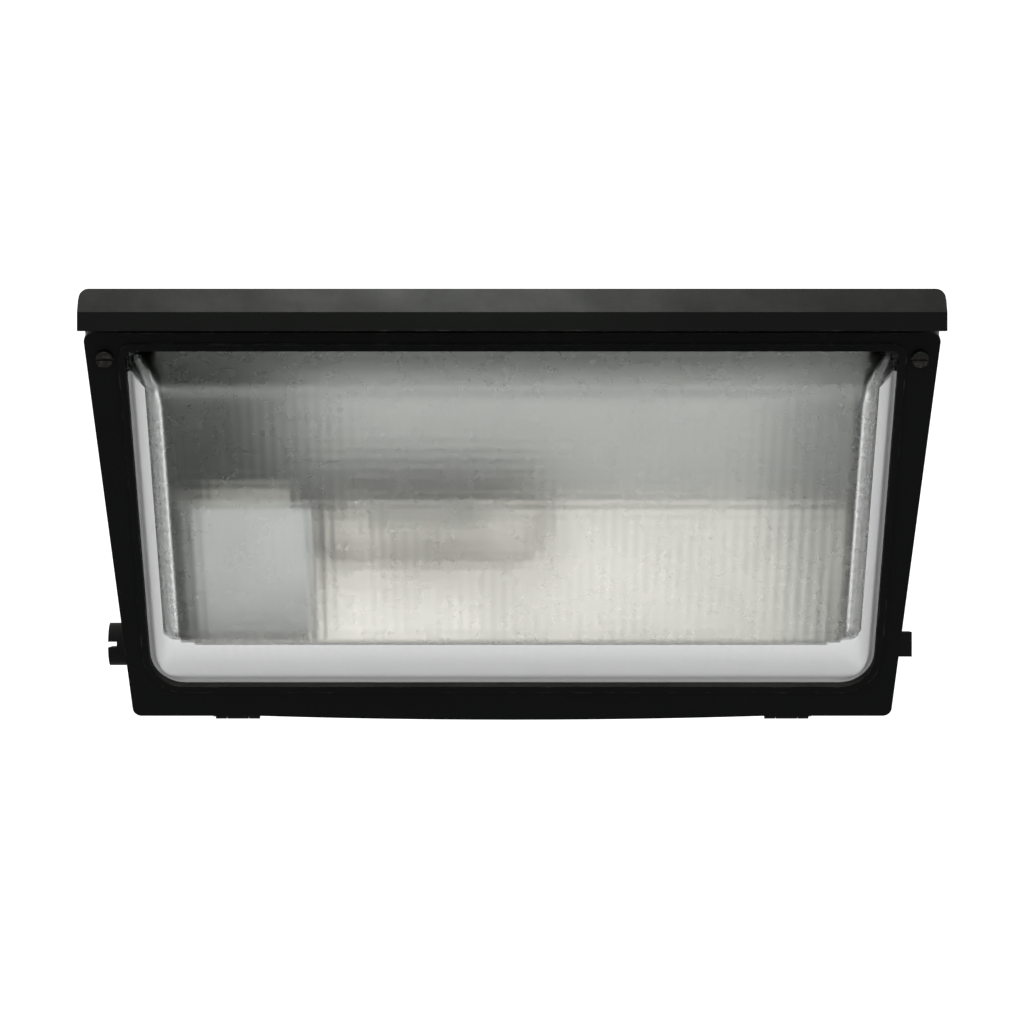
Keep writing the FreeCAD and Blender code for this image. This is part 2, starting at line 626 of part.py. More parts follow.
def view_outline(grow):
    """Four corners of the glass opening, grown outwards."""
    low, high = f"view_low - ({grow})", f"view_high + ({grow})"
    return [(f"-({view_half(high)} + ({grow}))", high), (f"-({view_half(low)} + ({grow}))", low),
            (f"{view_half(low)} + ({grow})", low), (f"{view_half(high)} + ({grow})", high)]


def round_view(owner, grow, part_depth):
    """Rounds the corners of an opening-shaped block: wide below, tight above."""
    middle = size("(view_low + view_high)/2")
    least = size(part_depth) - size("hair")
    for radius, below in ((f"view_round + ({grow})", True), (f"view_round_high + ({grow})", False)):
        round_edges(owner, radius, lambda e: runs_along(e, "y", 0.99) and e.Length >= least
                    and (e.CenterOfMass.z < middle) == below)


def view_block(name, grow, start, depth):
    """A block with the opening's outline, from start deep to start + depth deep."""
    owner = new_body(name)
    outline = sketch(owner, name + "_outline", "XZ_Plane", view_outline(grow), f"-({start})")
    pad(owner, outline, depth, reverse=True)
    round_view(owner, grow, depth)
    return owner


def make_door():
    frame = new_body("door_blank")
    outline = sketch(frame, "door_outline", "XZ_Plane", door_outline("0", "0", "door_len"))
    pad(frame, outline, "door_deep", reverse=True)
    round_edges(frame, "corner_round", lambda e: runs_along(e, "y", 0.99))
    bow = new_body("door_bow")
    chord = "(hinge_x - knuckle_len)"
    dip = [(f"{chord}*{i}/{BOW_STEPS}", f"-door_crown*(1 - ({i}/{BOW_STEPS})^2)")
           for i in range(-BOW_STEPS, BOW_STEPS + 1)]
    dip[0], dip[-1] = (f"-{chord}", "0"), (chord, "0")
    bow_outline = sketch(bow, "door_bow_outline", "XZ_Plane",
                         dip + [(chord, "door_plate"), (f"-{chord}", "door_plate")])
    pad(bow, bow_outline, "door_plate", reverse=True)
    bead = view_block("door_bead", "bead_wide", "-bead_high", "bead_high + bite")
    hollow = new_body("door_hollow")
    inner = sketch(hollow, "door_hollow_outline", "XZ_Plane",
                   door_outline("skirt", "skirt", "door_len - skirt"), "-door_plate")
    pad(hollow, inner, "door_deep", reverse=True)
    window = view_block("door_window", "0", "-beyond", "2*beyond")
    added, holes = [], []
    for hand, sign in (("left", "-1"), ("right", "1")):
        added.append(rod(f"{hand}_door_boss", "y", "door_boss_r", "door_deep - bite",
                         f"{sign}*door_screw_x", "bite", "door_screw_up"))
        holes.append(rod(f"{hand}_door_screw_hole", "y", "door_screw_r + screw_run",
                         "door_deep + 2*bite", f"{sign}*door_screw_x", "-bite", "door_screw_up"))
        added.append(clip_boss(f"{hand}_clip_boss", *side_clip(sign)))
    for number, across in enumerate(("-clip_x", "0", "clip_x")):
        added.append(clip_boss(f"low_clip_boss_{number}", across, LOW_CLIP_UP))
    for number, (across, up) in enumerate(clip_places()):
        holes.append(rod(f"clip_hole_{number}", "y", "small_screw_r",
                         "clip_screw_len - clip_thick + bite + screw_end",
                         across, f"{CLIP_SEAT} - (clip_screw_len - clip_thick + screw_end)", up))
    body = cut("door_casting_upright",
               join("door_solid", [cut("door_shell", join("door_block", [frame, bow, bead]),
                                       [hollow, window])] + added), holes)
    lean(body)
    knuckles, bores = [body], []
    for hand, sign in (("left", "-1"), ("right", "1")):
        start = f"{sign}*hinge_x - knuckle_len/2"
        knuckles.append(rod(f"{hand}_knuckle", "x", "knuckle_r", "knuckle_len",
                            start, "-pin_y", "pin_z"))
        knuckles.append(box(f"{hand}_knuckle_arm", (start, f"{start} + knuckle_len"),
                            ("-(pin_y + knuckle_r + arm_front)", "-pin_y"),
                            ("pin_z - arm_low", "pin_z + arm_high")))
        bores.append(rod(f"{hand}_knuckle_bore", "x", "pin_r + pin_run", "knuckle_len + 2*bite",
                         f"{start} - bite", "-pin_y", "pin_z"))
    return keep(cut("door_frame", join("door_hinged", knuckles), bores), "door_frame")


BOW_STEPS = 6
CLIP_SEAT = "(door_plate + glass_seal + glass_thick)"
LOW_CLIP_UP = "(view_low - glass_lap - clip_boss_r - clip_gap)"


def side_clip(sign):
    """Place of a side clip's screw, across the door and up it."""
    return f"{sign}*({view_half('clip_up')} + glass_lap + clip_boss_r + clip_gap)", "clip_up"


def clip_places():
    places = [("-clip_x", LOW_CLIP_UP), ("0", LOW_CLIP_UP), ("clip_x", LOW_CLIP_UP)]
    return places + [side_clip("-1"), side_clip("1")]


def clip_boss(name, across, up):
    """A round post on the back of the door's face, as high as the glass flange."""
    return rod(name, "y", "clip_boss_r", f"{CLIP_SEAT} - bite", across, "bite", up)


def make_glass():
    flange = view_block("glass_flange", "glass_lap", "door_plate + glass_seal", "glass_thick")
    pan = new_body("glass_pan")
    mouth = sketch(pan, "pan_mouth", "XZ_Plane", view_outline("-glass_gap"),
                   "-(door_plate + glass_seal + bite)")
    face = sketch(pan, "pan_face", "XZ_Plane", pan_face("glass_gap"), "glass_proud")
    loft(pan, "AdditiveLoft", [mouth, face])
    middle = size("(view_low + view_high)/2")
    front = size("bite - glass_proud")
    round_edges(pan, "view_round - glass_gap", lambda e: not lies_in_plane(e)
                and e.CenterOfMass.z < middle)
    round_edges(pan, "pan_round", lambda e: e.CenterOfMass.y < front)
    hollow = new_body("glass_hollow")
    seat = "glass_gap + glass_thick"
    inner_mouth = sketch(hollow, "hollow_mouth", "XZ_Plane", view_outline(f"-({seat})"),
                         "-(door_plate + glass_seal + glass_thick + bite)")
    inner_face = sketch(hollow, "hollow_face", "XZ_Plane", pan_face(seat),
                        "glass_proud - glass_thick")
    loft(hollow, "AdditiveLoft", [inner_mouth, inner_face])
    round_edges(hollow, "view_round - glass_gap", lambda e: not lies_in_plane(e)
                and e.CenterOfMass.z < middle)
    inner_front = size("bite + glass_thick - glass_proud")
    round_edges(hollow, "pan_round - glass_thick", lambda e: e.CenterOfMass.y < inner_front)
    lean(keep(cut("refractor", join("glass_block", [flange, pan]), [hollow]), "refractor"))
    seal = cut("refractor_seal", view_block("seal_outer", "glass_lap", "door_plate", "glass_seal"),
               [view_block("seal_inner", "seal_back", "door_plate - bite",
                           "glass_seal + 2*bite")])
    lean(keep(seal, "refractor_seal"))


def lies_in_plane(edge):
    """Whether an edge lies in one plane parallel to the door's face."""
    return abs(edge.Vertexes[-1].Point.y - edge.Vertexes[0].Point.y) < size("bite")


def pan_face(inset):
    """Front outline of the glass pan, inside the opening by its sloping walls."""
    low, high = f"view_low + pan_in_low + ({inset})", f"view_high - pan_in_top - ({inset})"
    return [(f"-({view_half(high)} - pan_in_side - ({inset}))", high),
            (f"-({view_half(low)} - pan_in_side - ({inset}))", low),
            (f"{view_half(low)} - pan_in_side - ({inset})", low),
            (f"{view_half(high)} - pan_in_side - ({inset})", high)]


def make_clips():
    clips, screws = [], []
    for number, (across, up) in enumerate(clip_places()):
        if number < 3:
            bounds = ((f"{across} - clip_wide/2", f"{across} + clip_wide/2"),
                      (f"{up} - clip_boss_r", "view_low - glass_lap + clip_over"))
        else:
            inner = f"({view_half('clip_up')} + glass_lap - clip_over)"
            outer = f"({view_half('clip_up')} + glass_lap + 2*clip_boss_r + clip_gap)"
            pair = (inner, outer) if number == 4 else (f"-{outer}", f"-{inner}")
            bounds = (pair, (f"{up} - clip_wide/2", f"{up} + clip_wide/2"))
        plate = box(f"clip_plate_{number}", bounds[0],
                    (CLIP_SEAT, f"{CLIP_SEAT} + clip_thick"), bounds[1])
        hole = rod(f"clip_plate_hole_{number}", "y", "small_screw_r", "clip_thick + 2*bite",
                   across, f"{CLIP_SEAT} - bite", up)
        clips.append(cut(f"clip_{number}", plate, [hole]))
        screws.append(screw(f"clip_screw_{number}", "y", across,
                            f"{CLIP_SEAT} + clip_thick", up, "small_screw_r",
                            "-clip_screw_len"))
    lean(keep(group("refractor_clips", clips), "refractor_clips"))
    lean(keep(group("clip_screws", screws), "clip_screws"))


def screw(name, along, x, y, z, radius, reach):
    """A pan-head screw along Y: its head's seat is at y, its shank reaches from there."""
    sign = "-1" if reach.startswith("-") else "1"
    length = reach.lstrip("-")
    head_start = y if sign == "-1" else f"({y}) - small_head_len"
    shank_start = f"({y}) - ({length})" if sign == "-1" else y
    head = rod(name + "_head", along, "small_head_r", "small_head_len", x, head_start, z)
    shank = rod(name + "_shank", along, radius, length, x, shank_start, z)
    slot_y = (f"({y}) + small_head_len - small_slot_deep" if sign == "-1"
              else f"({y}) - small_head_len - bite")
    slot = box(name + "_slot", (f"({x}) - small_head_r - bite", f"({x}) + small_head_r + bite"),
               (slot_y, f"{slot_y} + bite + small_slot_deep"),
               (f"({z}) - small_slot/2", f"({z}) + small_slot/2"))
    return cut(name, join(name + "_blank", [head, shank]), [slot])


def make_door_seal():
    outer = new_body("door_seal_outer")
    outline = sketch(outer, "door_seal_outline", "XZ_Plane",
                     door_outline("seal_side", "seal_low", "door_len - seal_high", "rim_back"),
                     "-(door_deep + seal_gap)")
    pad(outer, outline, "rim_back - door_deep - seal_gap", reverse=True)
    inner = new_body("door_seal_inner")
    hole = sketch(inner, "door_seal_hole", "XZ_Plane",
                  door_outline("seal_side + seal_wide", "seal_low + seal_wide",
                               "door_len - seal_high - seal_wide", "rim_back"), "-door_deep")
    pad(inner, hole, "rim_back", reverse=True)
    lean(keep(cut("door_seal", outer, [inner]), "door_seal"))


def make_door_screws():
    for hand, sign in (("left", "-1"), ("right", "1")):
        name = f"door_screw_{hand}"
        across, up = f"{sign}*door_screw_x", "door_screw_up"
        head = rod(name + "_head", "y", "door_head_r", "door_head_len",
                   across, "-door_head_len", up)
        shank = rod(name + "_shank", "y", "door_screw_r", "door_screw_len", across, "0", up)
        slot = box(name + "_slot", (f"{across} - door_head_r - bite",
                                    f"{across} + door_head_r + bite"),
                   ("-door_head_len - bite", "-door_head_len + door_slot_deep"),
                   (f"{up} - door_slot/2", f"{up} + door_slot/2"))
        lean(keep(cut(name, join(name + "_blank", [head, shank]), [slot]), name))


def make_hinge_pins():
    pins = []
    for hand, sign in (("left", "-1"), ("right", "1")):
        reach = "knuckle_len/2 + hinge_gap + lug_len"
        start = f"{sign}*hinge_x - ({reach})"
        shank = rod(f"{hand}_pin_shank", "x", "pin_r", f"2*({reach})", start, "-pin_y", "pin_z")
        head_x = f"{start} - pin_head_len" if sign == "-1" else f"{start} + 2*({reach})"
        head = rod(f"{hand}_pin_head", "x", "pin_head_r", "pin_head_len",
                   head_x, "-pin_y", "pin_z")
        pins.append(join(f"{hand}_pin", [shank, head]))
    keep(group("hinge_pins", pins), "hinge_pins")


# ---- reflector -------------------------------------------------------------
def refl_profile():
    """The reflector's back in side view, from the top front edge to the bottom one."""
    deep = "rim_back + rim_thick + rim_gap + 2*sheet_thick"
    return [(f"-{slope_y('refl_high_z', deep)}", "refl_high_z"),
            ("-refl_back_y", "refl_strip/2"), ("-refl_back_y", "-refl_strip/2"),
            (f"-{slope_y('refl_low_z', deep)}", "refl_low_z")]


def make_reflector():
    trough = new_body("reflector_trough")
    back = refl_profile()
    face = [(f"{y} - fold_share*sheet_thick", z) for y, z in back]
    face[1] = (f"{back[1][0]} - sheet_thick", back[1][1])
    face[2] = (f"{back[2][0]} - sheet_thick", back[2][1])
    outline = sketch(trough, "trough_side", "YZ_Plane", back + face[::-1])
    pad(trough, outline, "2*refl_half", both_ways=True)
    ends = []
    for hand, start in (("left", "-refl_half"), ("right", "refl_half - sheet_thick")):
        end = new_body(f"reflector_end_{hand}")
        side = sketch(end, f"end_{hand}_side", "YZ_Plane", refl_profile(), start)
        pad(end, side, "sheet_thick")
        ends.append(end)
    places = {"left": "-post_left_x", "right": "post_right_x"}
    holes = [rod(f"refl_hole_{hand}", "y", "small_screw_r", "sheet_thick + 2*bite", across,
                 "-(refl_back_y + sheet_thick + bite)") for hand, across in places.items()]
    keep(cut("reflector", join("reflector_sheet", [trough] + ends), holes), "reflector")
    screws = [screw(f"reflector_screw_{hand}", "y", across,
                    "-(refl_back_y + sheet_thick)", "0", "small_screw_r", "post_screw_len")
              for hand, across in places.items()]
    keep(group("reflector_screws", screws), "reflector_screws")


# ---- lamp and lampholder ---------------------------------------------------
def make_lampholder():
    """Porcelain lampholder in a folded sheet bracket, with its brass screw shell."""
    face = "socket_x + socket_len"
    barrel = rod("socket_barrel", "x", "socket_r", "socket_len", "socket_x", "-lamp_y", "lamp_z")
    heel = rod("socket_heel", "x", "socket_heel_r", "socket_x + refl_half - sheet_thick",
               "-refl_half + sheet_thick", "-lamp_y", "lamp_z")
    body = join("socket_body", [barrel, heel])
    well = rod("socket_well", "x", "base_r + shell_gap + shell_wall", "well_room + bite",
               f"{face} - well_room", "-lamp_y", "lamp_z")
    keep(cut("lamp_socket", body, [well]), "lamp_socket")
    shell = rod("shell_out", "x", "base_r + shell_gap + shell_wall", "well_room - bite",
                f"{face} - well_room", "-lamp_y", "lamp_z")
    bore = rod("shell_bore", "x", "base_r + shell_gap", "well_room",
               f"{face} - well_room + shell_floor", "-lamp_y", "lamp_z")
    keep(cut("socket_screw_shell", shell, [bore]), "socket_screw_shell")

    cover = new_body("socket_cover_block")
    outline = sketch(cover, "socket_cover_side", "YZ_Plane", COVER_SIDE, "-refl_half + sheet_thick")
    pad(cover, outline, "refl_half + cover_right - sheet_thick")
    room = new_body("socket_cover_room")
    inner = sketch(room, "socket_cover_inner", "YZ_Plane", [
        (f"-{slope_y('cover_high - sheet_thick', 'rim_back + cover_front + sheet_thick')}",
         "cover_high - sheet_thick"),
        ("-wall", "cover_high - sheet_thick"),
        ("-wall", "cover_low + sheet_thick"),
        (f"-{slope_y('cover_low + sheet_thick', 'rim_back + cover_front + sheet_thick')}",
         "cover_low + sheet_thick")], "-refl_half - bite")
    pad(room, inner, "refl_half + cover_right + bite - sheet_thick")
    passage = rod("socket_cover_passage", "x", "socket_r + rim_gap",
                  "refl_half + cover_right + 2*bite",
                  "-refl_half + sheet_thick - bite", "-lamp_y", "lamp_z")
    keep(cut("socket_bracket", cover, [room, passage]), "socket_bracket")


def make_lamp():
    """A tubular discharge lamp with a screw base, along X."""
    face = "(socket_x + socket_len)"
    start = f"({face} - base_len)"
    thread = rod("lamp_thread", "x", "base_r", "base_len", start, "-lamp_y", "lamp_z")
    tip = taper_rod("lamp_tip", "x", "tip_r", "base_r - 2*bite", "tip_len",
                    f"{start} - tip_len", "-lamp_y", "lamp_z")
    collar = rod("lamp_collar", "x", "base_r + bite", "collar_len", f"{face} + collar_gap",
                 "-lamp_y", "lamp_z")
    link = rod("lamp_link", "x", "base_r", "collar_gap + bite", f"{face} - bite/2",
               "-lamp_y", "lamp_z")
    keep(join("lamp_base", [thread, tip, collar, link]), "lamp_base")
    glass_x = f"({face} + collar_gap + collar_len)"
    outer = bulb("bulb_outer", glass_x, "0")
    inner = bulb("bulb_inner", glass_x, "bulb_wall")
    keep(cut("lamp_envelope", outer, [inner]), "lamp_envelope")
    tube_x = f"({glass_x} + neck_len + arc_start)"
    arc = rod("arc_tube", "x", "arc_r", "arc_len", tube_x, "-lamp_y", "lamp_z")
    stem = rod("arc_stem", "x", "arc_wire_r", f"({tube_x}) - ({glass_x}) - bulb_wall",
               f"{glass_x} + bulb_wall", "-lamp_y", "lamp_z")
    tail = rod("arc_tail", "x", "arc_wire_r", "arc_tail_len", f"{tube_x} + arc_len",
               "-lamp_y", "lamp_z")
    keep(join("lamp_arc_tube", [arc, stem, tail]), "lamp_arc_tube")


def bulb(name, start, wall):
    """The lamp's glass or its inside: a widening neck, a straight part and a round end."""
    neck = taper_rod(name + "_neck", "x", f"base_r - bite - {wall}", f"bulb_r - {wall}",
                     f"neck_len - {wall}", f"{start} + {wall}", "-lamp_y", "lamp_z")
    straight = rod(name + "_straight", "x", f"bulb_r - {wall}", "bulb_len",
                   f"{start} + neck_len", "-lamp_y", "lamp_z")
    end = doc.addObject("Part::Sphere", name + "_end")
    bind(end, "Radius", f"bulb_r - {wall}")
    place(end, f"{start} + neck_len + bulb_len", "-lamp_y", "lamp_z")
    return join(name, [neck, straight, end])


COVER_SIDE = [
    (f"-{slope_y('cover_high', 'rim_back + cover_front')}", "cover_high"),
    ("-(refl_back_y + 2*sheet_thick)", "cover_high"),
    ("-(refl_back_y + 2*sheet_thick)", "-refl_strip/2"),
    (f"-({slope_y('refl_low_z', 'rim_back + rim_thick + rim_gap')} - refl_back_y)"
     "*(-refl_strip/2 - cover_low)/(-refl_strip/2 - refl_low_z) - refl_back_y - 2.5*sheet_thick",
     "cover_low"),
    (f"-{slope_y('cover_low', 'rim_back + cover_front')}", "cover_low")]


# ---- control gear ----------------------------------------------------------
def make_gear():
    seat = "wall + foot_thick"
    core_block = box("core_block", ("core_x", "core_x + core_wide"),
                     (f"-({seat} + core_deep)", f"-({seat})"), ("core_z", "core_z + core_high"))
    windows = [box(f"core_window_{n}", (x0, x1),
                   (f"-({seat} + core_deep + bite)", f"-({seat} - bite)"),
                   ("core_z + core_high/4", "core_z + 3*core_high/4"))
               for n, (x0, x1) in enumerate((
                   ("core_x + core_wide/6", "core_x + core_wide/3"),
                   ("core_x + 2*core_wide/3", "core_x + 5*core_wide/6")))]
    keep(cut("ballast_core", core_block, windows), "ballast_core")
    coil_out = box("coil_block",
                   ("core_x + core_wide/6 + gear_gap", "core_x + 5*core_wide/6 - gear_gap"),
                   (f"-({seat} + core_deep + coil_out)", f"-({seat})"),
                   ("core_z + core_high/4 + gear_gap", "core_z + 3*core_high/4 - gear_gap"))
    coil_in = box("coil_hole",
                  ("core_x + core_wide/3 - gear_gap", "core_x + 2*core_wide/3 + gear_gap"),
                  (f"-({seat} + core_deep + gear_gap)", f"-({seat} - bite)"),
                  ("core_z", "core_z + core_high"))
    keep(cut("ballast_coil", coil_out, [coil_in]), "ballast_coil")
    feet = []
    places = gear_screw_places()
    spans = (("core_x - 2*foot_hole", "core_x + core_wide/6 - bite"),
             ("core_x + 5*core_wide/6 + bite", "core_x + core_wide + 2*foot_hole"))
    for number, (x0, x1) in enumerate(spans):
        foot = box(f"ballast_foot_{number}", (x0, x1), (f"-({seat})", "-wall"),
                   ("core_z + foot_short", "core_z + core_high - foot_short"))
        across, up = places[number]
        hole = rod(f"ballast_foot_hole_{number}", "y", "small_screw_r", "foot_thick + 2*bite",
                   across, f"-({seat} + bite)", up)
        feet.append(cut(f"ballast_strap_{number}", foot, [hole]))
    keep(group("ballast_feet", feet), "ballast_feet")

    cap_y = f"({seat} + cap_r + gear_gap)"
    can = rod("cap_can", "x", "cap_r", "cap_len", "cap_x", f"-{cap_y}", "cap_z")
    stud = rod("cap_terminals", "x", "stud_r", "stud_len", "cap_x + cap_len", f"-{cap_y}",
               "cap_z + stud_half")
    stud_two = rod("cap_terminals_two", "x", "stud_r", "stud_len", "cap_x + cap_len",
                   f"-{cap_y}", "cap_z - stud_half")
    keep(join("capacitor", [can, stud, stud_two]), "capacitor")
    mid = "cap_x + cap_len/2"
    left, right = f"{mid} - clamp_wide/2", f"{mid} + clamp_wide/2"
    ring_out = rod("clamp_ring", "x", "cap_r + gear_gap + foot_thick", "clamp_wide", left,
                   f"-{cap_y}", "cap_z")
    ring_in = rod("clamp_bore", "x", "cap_r + gear_gap", "clamp_wide + 2*bite",
                  f"{left} - bite", f"-{cap_y}", "cap_z")
    tab = box("clamp_tab_strip", (left, right), (f"-({seat})", "-wall"),
              ("cap_z - cap_r - clamp_tab", "cap_z"))
    tab_hole = rod("clamp_tab_hole", "y", "small_screw_r", "foot_thick + 2*bite", mid,
                   f"-({seat} + bite)", "cap_z - cap_r - clamp_hole")
    back_trim = box("clamp_trim", (f"{left} - bite", f"{right} + bite"), ("-wall", "beyond"),
                    ("cap_z - cap_r - beyond", "cap_z + cap_r + beyond"))
    keep(cut("capacitor_clamp", join("clamp_block", [ring_out, tab]),
             [ring_in, tab_hole, back_trim]), "capacitor_clamp")

    case = box("ignitor_case", ("ign_x", "ign_x + ign_wide"), ("-(wall + ign_deep)", "-wall"),
               ("ign_z", "ign_z + ign_high"))
    ear = box("ignitor_ear", ("ign_x - 2*foot_hole", "ign_x + ign_wide + 2*foot_hole"),
              (f"-({seat})", "-wall"),
              ("ign_z + ign_high/2 - ear_high/2", "ign_z + ign_high/2 + ear_high/2"))
    ear_holes = []
    for number, (across, up) in enumerate(places[3:]):
        ear_holes.append(rod(f"ignitor_ear_hole_{number}", "y", "small_screw_r",
                             "foot_thick + 2*bite", across, f"-({seat} + bite)", up))
    keep(cut("ignitor", join("ignitor_block", [case, ear]), ear_holes), "ignitor")

    block = box("terminal_body", ("term_x", "term_x + term_wide"), ("-(wall + term_deep)", "-wall"),
                ("term_z", "term_z + term_high"))
    wells, heads = [], []
    for number in range(3):
        across = f"term_x + term_wide*({number} + 0.5)/3"
        wells.append(rod(f"terminal_well_{number}", "y", "well_r", "well_deep + bite", across,
                         "-(wall + term_deep + bite)", "term_z + term_high/2"))
        heads.append(screw(f"terminal_screw_{number}", "y", across,
                           "-(wall + term_deep - well_deep) ", "term_z + term_high/2",
                           "term_screw_r", "term_screw_len"))
        wells.append(rod(f"terminal_tap_{number}", "y", "term_screw_r",
                         "well_deep + term_screw_len + bite", across,
                         "-(wall + term_deep)", "term_z + term_high/2"))
    keep(cut("terminal_block", block, wells), "terminal_block")
    keep(group("terminal_screws", heads), "terminal_screws")
    keep(screw("ground_screw_body", "y", GROUND_PLACE[0], "-wall", GROUND_PLACE[1],
               "small_screw_r", "tap_deep"), "ground_screw")
    screws = [screw(f"gear_screw_{number}", "y", across, f"-({seat})", up,
                    "small_screw_r", "foot_thick + tap_deep")
              for number, (across, up) in enumerate(places)]
    keep(group("gear_screws", screws), "gear_screws")


# ---- hub plugs -------------------------------------------------------------
def make_plugs():
    length = "plug_len"
    shank = rod("slot_plug_shank", "x", "thread_r - plug_gap", length, "-hub_end_x", "-hub_y", "hub_z")
    head = rod("slot_plug_head", "x", "slot_head_r", "slot_head_len",
               "-(hub_end_x + slot_head_len)", "-hub_y", "hub_z")
    slot = box("plug_slot", ("-(hub_end_x + slot_head_len + bite)",
                             "-(hub_end_x + slot_head_len - slot_deep)"),
               ("-hub_y - slot_head_r - bite", "-hub_y + slot_head_r + bite"),
               ("hub_z - slot_wide/2", "hub_z + slot_wide/2"))
    keep(cut("hub_plug_left", join("slot_plug_blank", [shank, head]), [slot]), "hub_plug_left")
    shank_two = rod("square_plug_shank", "x", "thread_r - plug_gap", length,
                    "hub_end_x - plug_len", "-hub_y", "hub_z")
    square = box("square_plug_head", ("hub_end_x", "hub_end_x + square_len"),
                 ("-hub_y - square_head/2", "-hub_y + square_head/2"),
                 ("hub_z - square_head/2", "hub_z + square_head/2"))
    keep(join("hub_plug_right", [shank_two, square]), "hub_plug_right")


make_housing()
make_door()
make_glass()
make_clips()
make_door_seal()
make_door_screws()
make_hinge_pins()
make_reflector()
make_lampholder()
make_lamp()
make_gear()
make_plugs()

doc.recompute()
failed = [obj.Name for obj in doc.Objects if "Invalid" in obj.State or "Error" in obj.State]
if failed:
    raise SystemExit(f"these failed: {failed}")
for obj in NODES:
    if obj.Shape.isNull() or not obj.Shape.isValid():
        raise SystemExit(f"{obj.Label} has a bad shape")
    obj.Shape.exportStep(f"parts/{obj.Label}.step")
    box_of = obj.Shape.BoundBox
    print(f"{obj.Label:20s} solids {len(obj.Shape.Solids)} volume {obj.Shape.Volume:10.0f}"
          f" x {box_of.XMin:7.1f} {box_of.XMax:7.1f} y {box_of.YMin:7.1f} {box_of.YMax:7.1f}"
          f" z {box_of.ZMin:7.1f} {box_of.ZMax:7.1f}")
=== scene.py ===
# %% [markdown]
# # A wall pack light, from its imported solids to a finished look
#
# The light hangs on a wall outdoors. It is a black cast box with a hood, and below the
# hood a door holds a pan of ribbed glass. Behind the glass sit a folded bright reflector,
# a lamp and a cover over the lamp's wires. The solids already have the right sizes, so
# this lesson gives them their surfaces and models the ribbed glass and the lamp's screw
# thread, which the solids only outline.

# %% Load the frame
import math
import bpy
import numpy as np
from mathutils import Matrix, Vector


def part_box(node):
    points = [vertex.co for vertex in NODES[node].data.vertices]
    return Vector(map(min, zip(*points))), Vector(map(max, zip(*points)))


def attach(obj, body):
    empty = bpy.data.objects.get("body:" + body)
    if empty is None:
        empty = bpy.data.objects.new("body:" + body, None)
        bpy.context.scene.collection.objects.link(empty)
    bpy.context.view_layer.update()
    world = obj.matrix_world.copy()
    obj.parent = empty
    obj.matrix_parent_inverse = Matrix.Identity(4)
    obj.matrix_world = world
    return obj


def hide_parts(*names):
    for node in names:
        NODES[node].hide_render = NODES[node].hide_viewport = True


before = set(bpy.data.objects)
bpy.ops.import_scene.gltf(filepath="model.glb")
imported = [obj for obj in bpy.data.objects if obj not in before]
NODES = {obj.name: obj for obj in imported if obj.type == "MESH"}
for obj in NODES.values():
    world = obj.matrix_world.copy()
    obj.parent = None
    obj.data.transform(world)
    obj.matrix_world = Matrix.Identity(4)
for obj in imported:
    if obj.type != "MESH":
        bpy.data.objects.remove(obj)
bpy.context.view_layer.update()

MM = 0.001

# %% [markdown]
# ## The camera
#
# The picture is square and straight on. Nearly parallel lines mean a long lens from far
# away, and the sides of the door lean in only as much as the hood's overhang explains.
# We could place the camera by eye, but one distance and one focal length in pixels give
# it exactly, and the lens follows from the width of the sensor.

# %% The camera
PICTURE_SIDE = 1024
FOCAL_PIXELS = 3574
SENSOR = 36
camera = bpy.data.objects.new("studio_camera", bpy.data.cameras.new("studio_camera"))
bpy.context.collection.objects.link(camera)
bpy.context.scene.camera = camera
camera.location = (-0.0001, -2.128, -0.0017)
camera.rotation_euler = (math.pi / 2, 0, 0)
camera.data.sensor_width = SENSOR
camera.data.lens = FOCAL_PIXELS * SENSOR / PICTURE_SIDE
print("lens in mm:", round(camera.data.lens, 2))

# %% [markdown]
# ## Light and background
#
# The background is plain white and the light is soft, so the sky does most of the work.
# Light Path lets the camera, mirrors and glass see a white room, while the light that
# falls on dull surfaces stays at a plain level and leaves room for two large lamps. A
# small one, close over the hood, makes its lip brightest in the middle. A lamp's power
# is worked out from how bright it should make a white card at its distance:
# power = brightness x pi^2 x distance^2.

# %% Sky
SKY_LEVEL, ROOM_LEVEL = 0.62, 1.3
scene = bpy.context.scene
scene.view_settings.view_transform = "Standard"
sky = bpy.data.worlds.new("studio_sky")
scene.world = sky
sky.use_nodes = True
sky_nodes, sky_links = sky.node_tree.nodes, sky.node_tree.links
sky_nodes.clear()
sky_out = sky_nodes.new("ShaderNodeOutputWorld")
sky_mix = sky_nodes.new("ShaderNodeMixShader")
soft_sky = sky_nodes.new("ShaderNodeBackground")
soft_sky.inputs["Strength"].default_value = SKY_LEVEL
white_room = sky_nodes.new("ShaderNodeBackground")
white_room.inputs["Strength"].default_value = ROOM_LEVEL
for background in (soft_sky, white_room):
    background.inputs["Color"].default_value = (1, 1, 1, 1)
ray = sky_nodes.new("ShaderNodeLightPath")
seen = sky_nodes.new("ShaderNodeMath")
seen.operation = "MAXIMUM"
seen_or_through = sky_nodes.new("ShaderNodeMath")
seen_or_through.operation = "MAXIMUM"
sky_links.new(ray.outputs["Is Camera Ray"], seen.inputs[0])
sky_links.new(ray.outputs["Is Glossy Ray"], seen.inputs[1])
sky_links.new(seen.outputs[0], seen_or_through.inputs[0])
sky_links.new(ray.outputs["Is Transmission Ray"], seen_or_through.inputs[1])
sky_links.new(seen_or_through.outputs[0], sky_mix.inputs[0])
sky_links.new(soft_sky.outputs[0], sky_mix.inputs[1])
sky_links.new(white_room.outputs[0], sky_mix.inputs[2])
sky_links.new(sky_mix.outputs[0], sky_out.inputs[0])
print("sky level:", SKY_LEVEL, "white room:", ROOM_LEVEL)


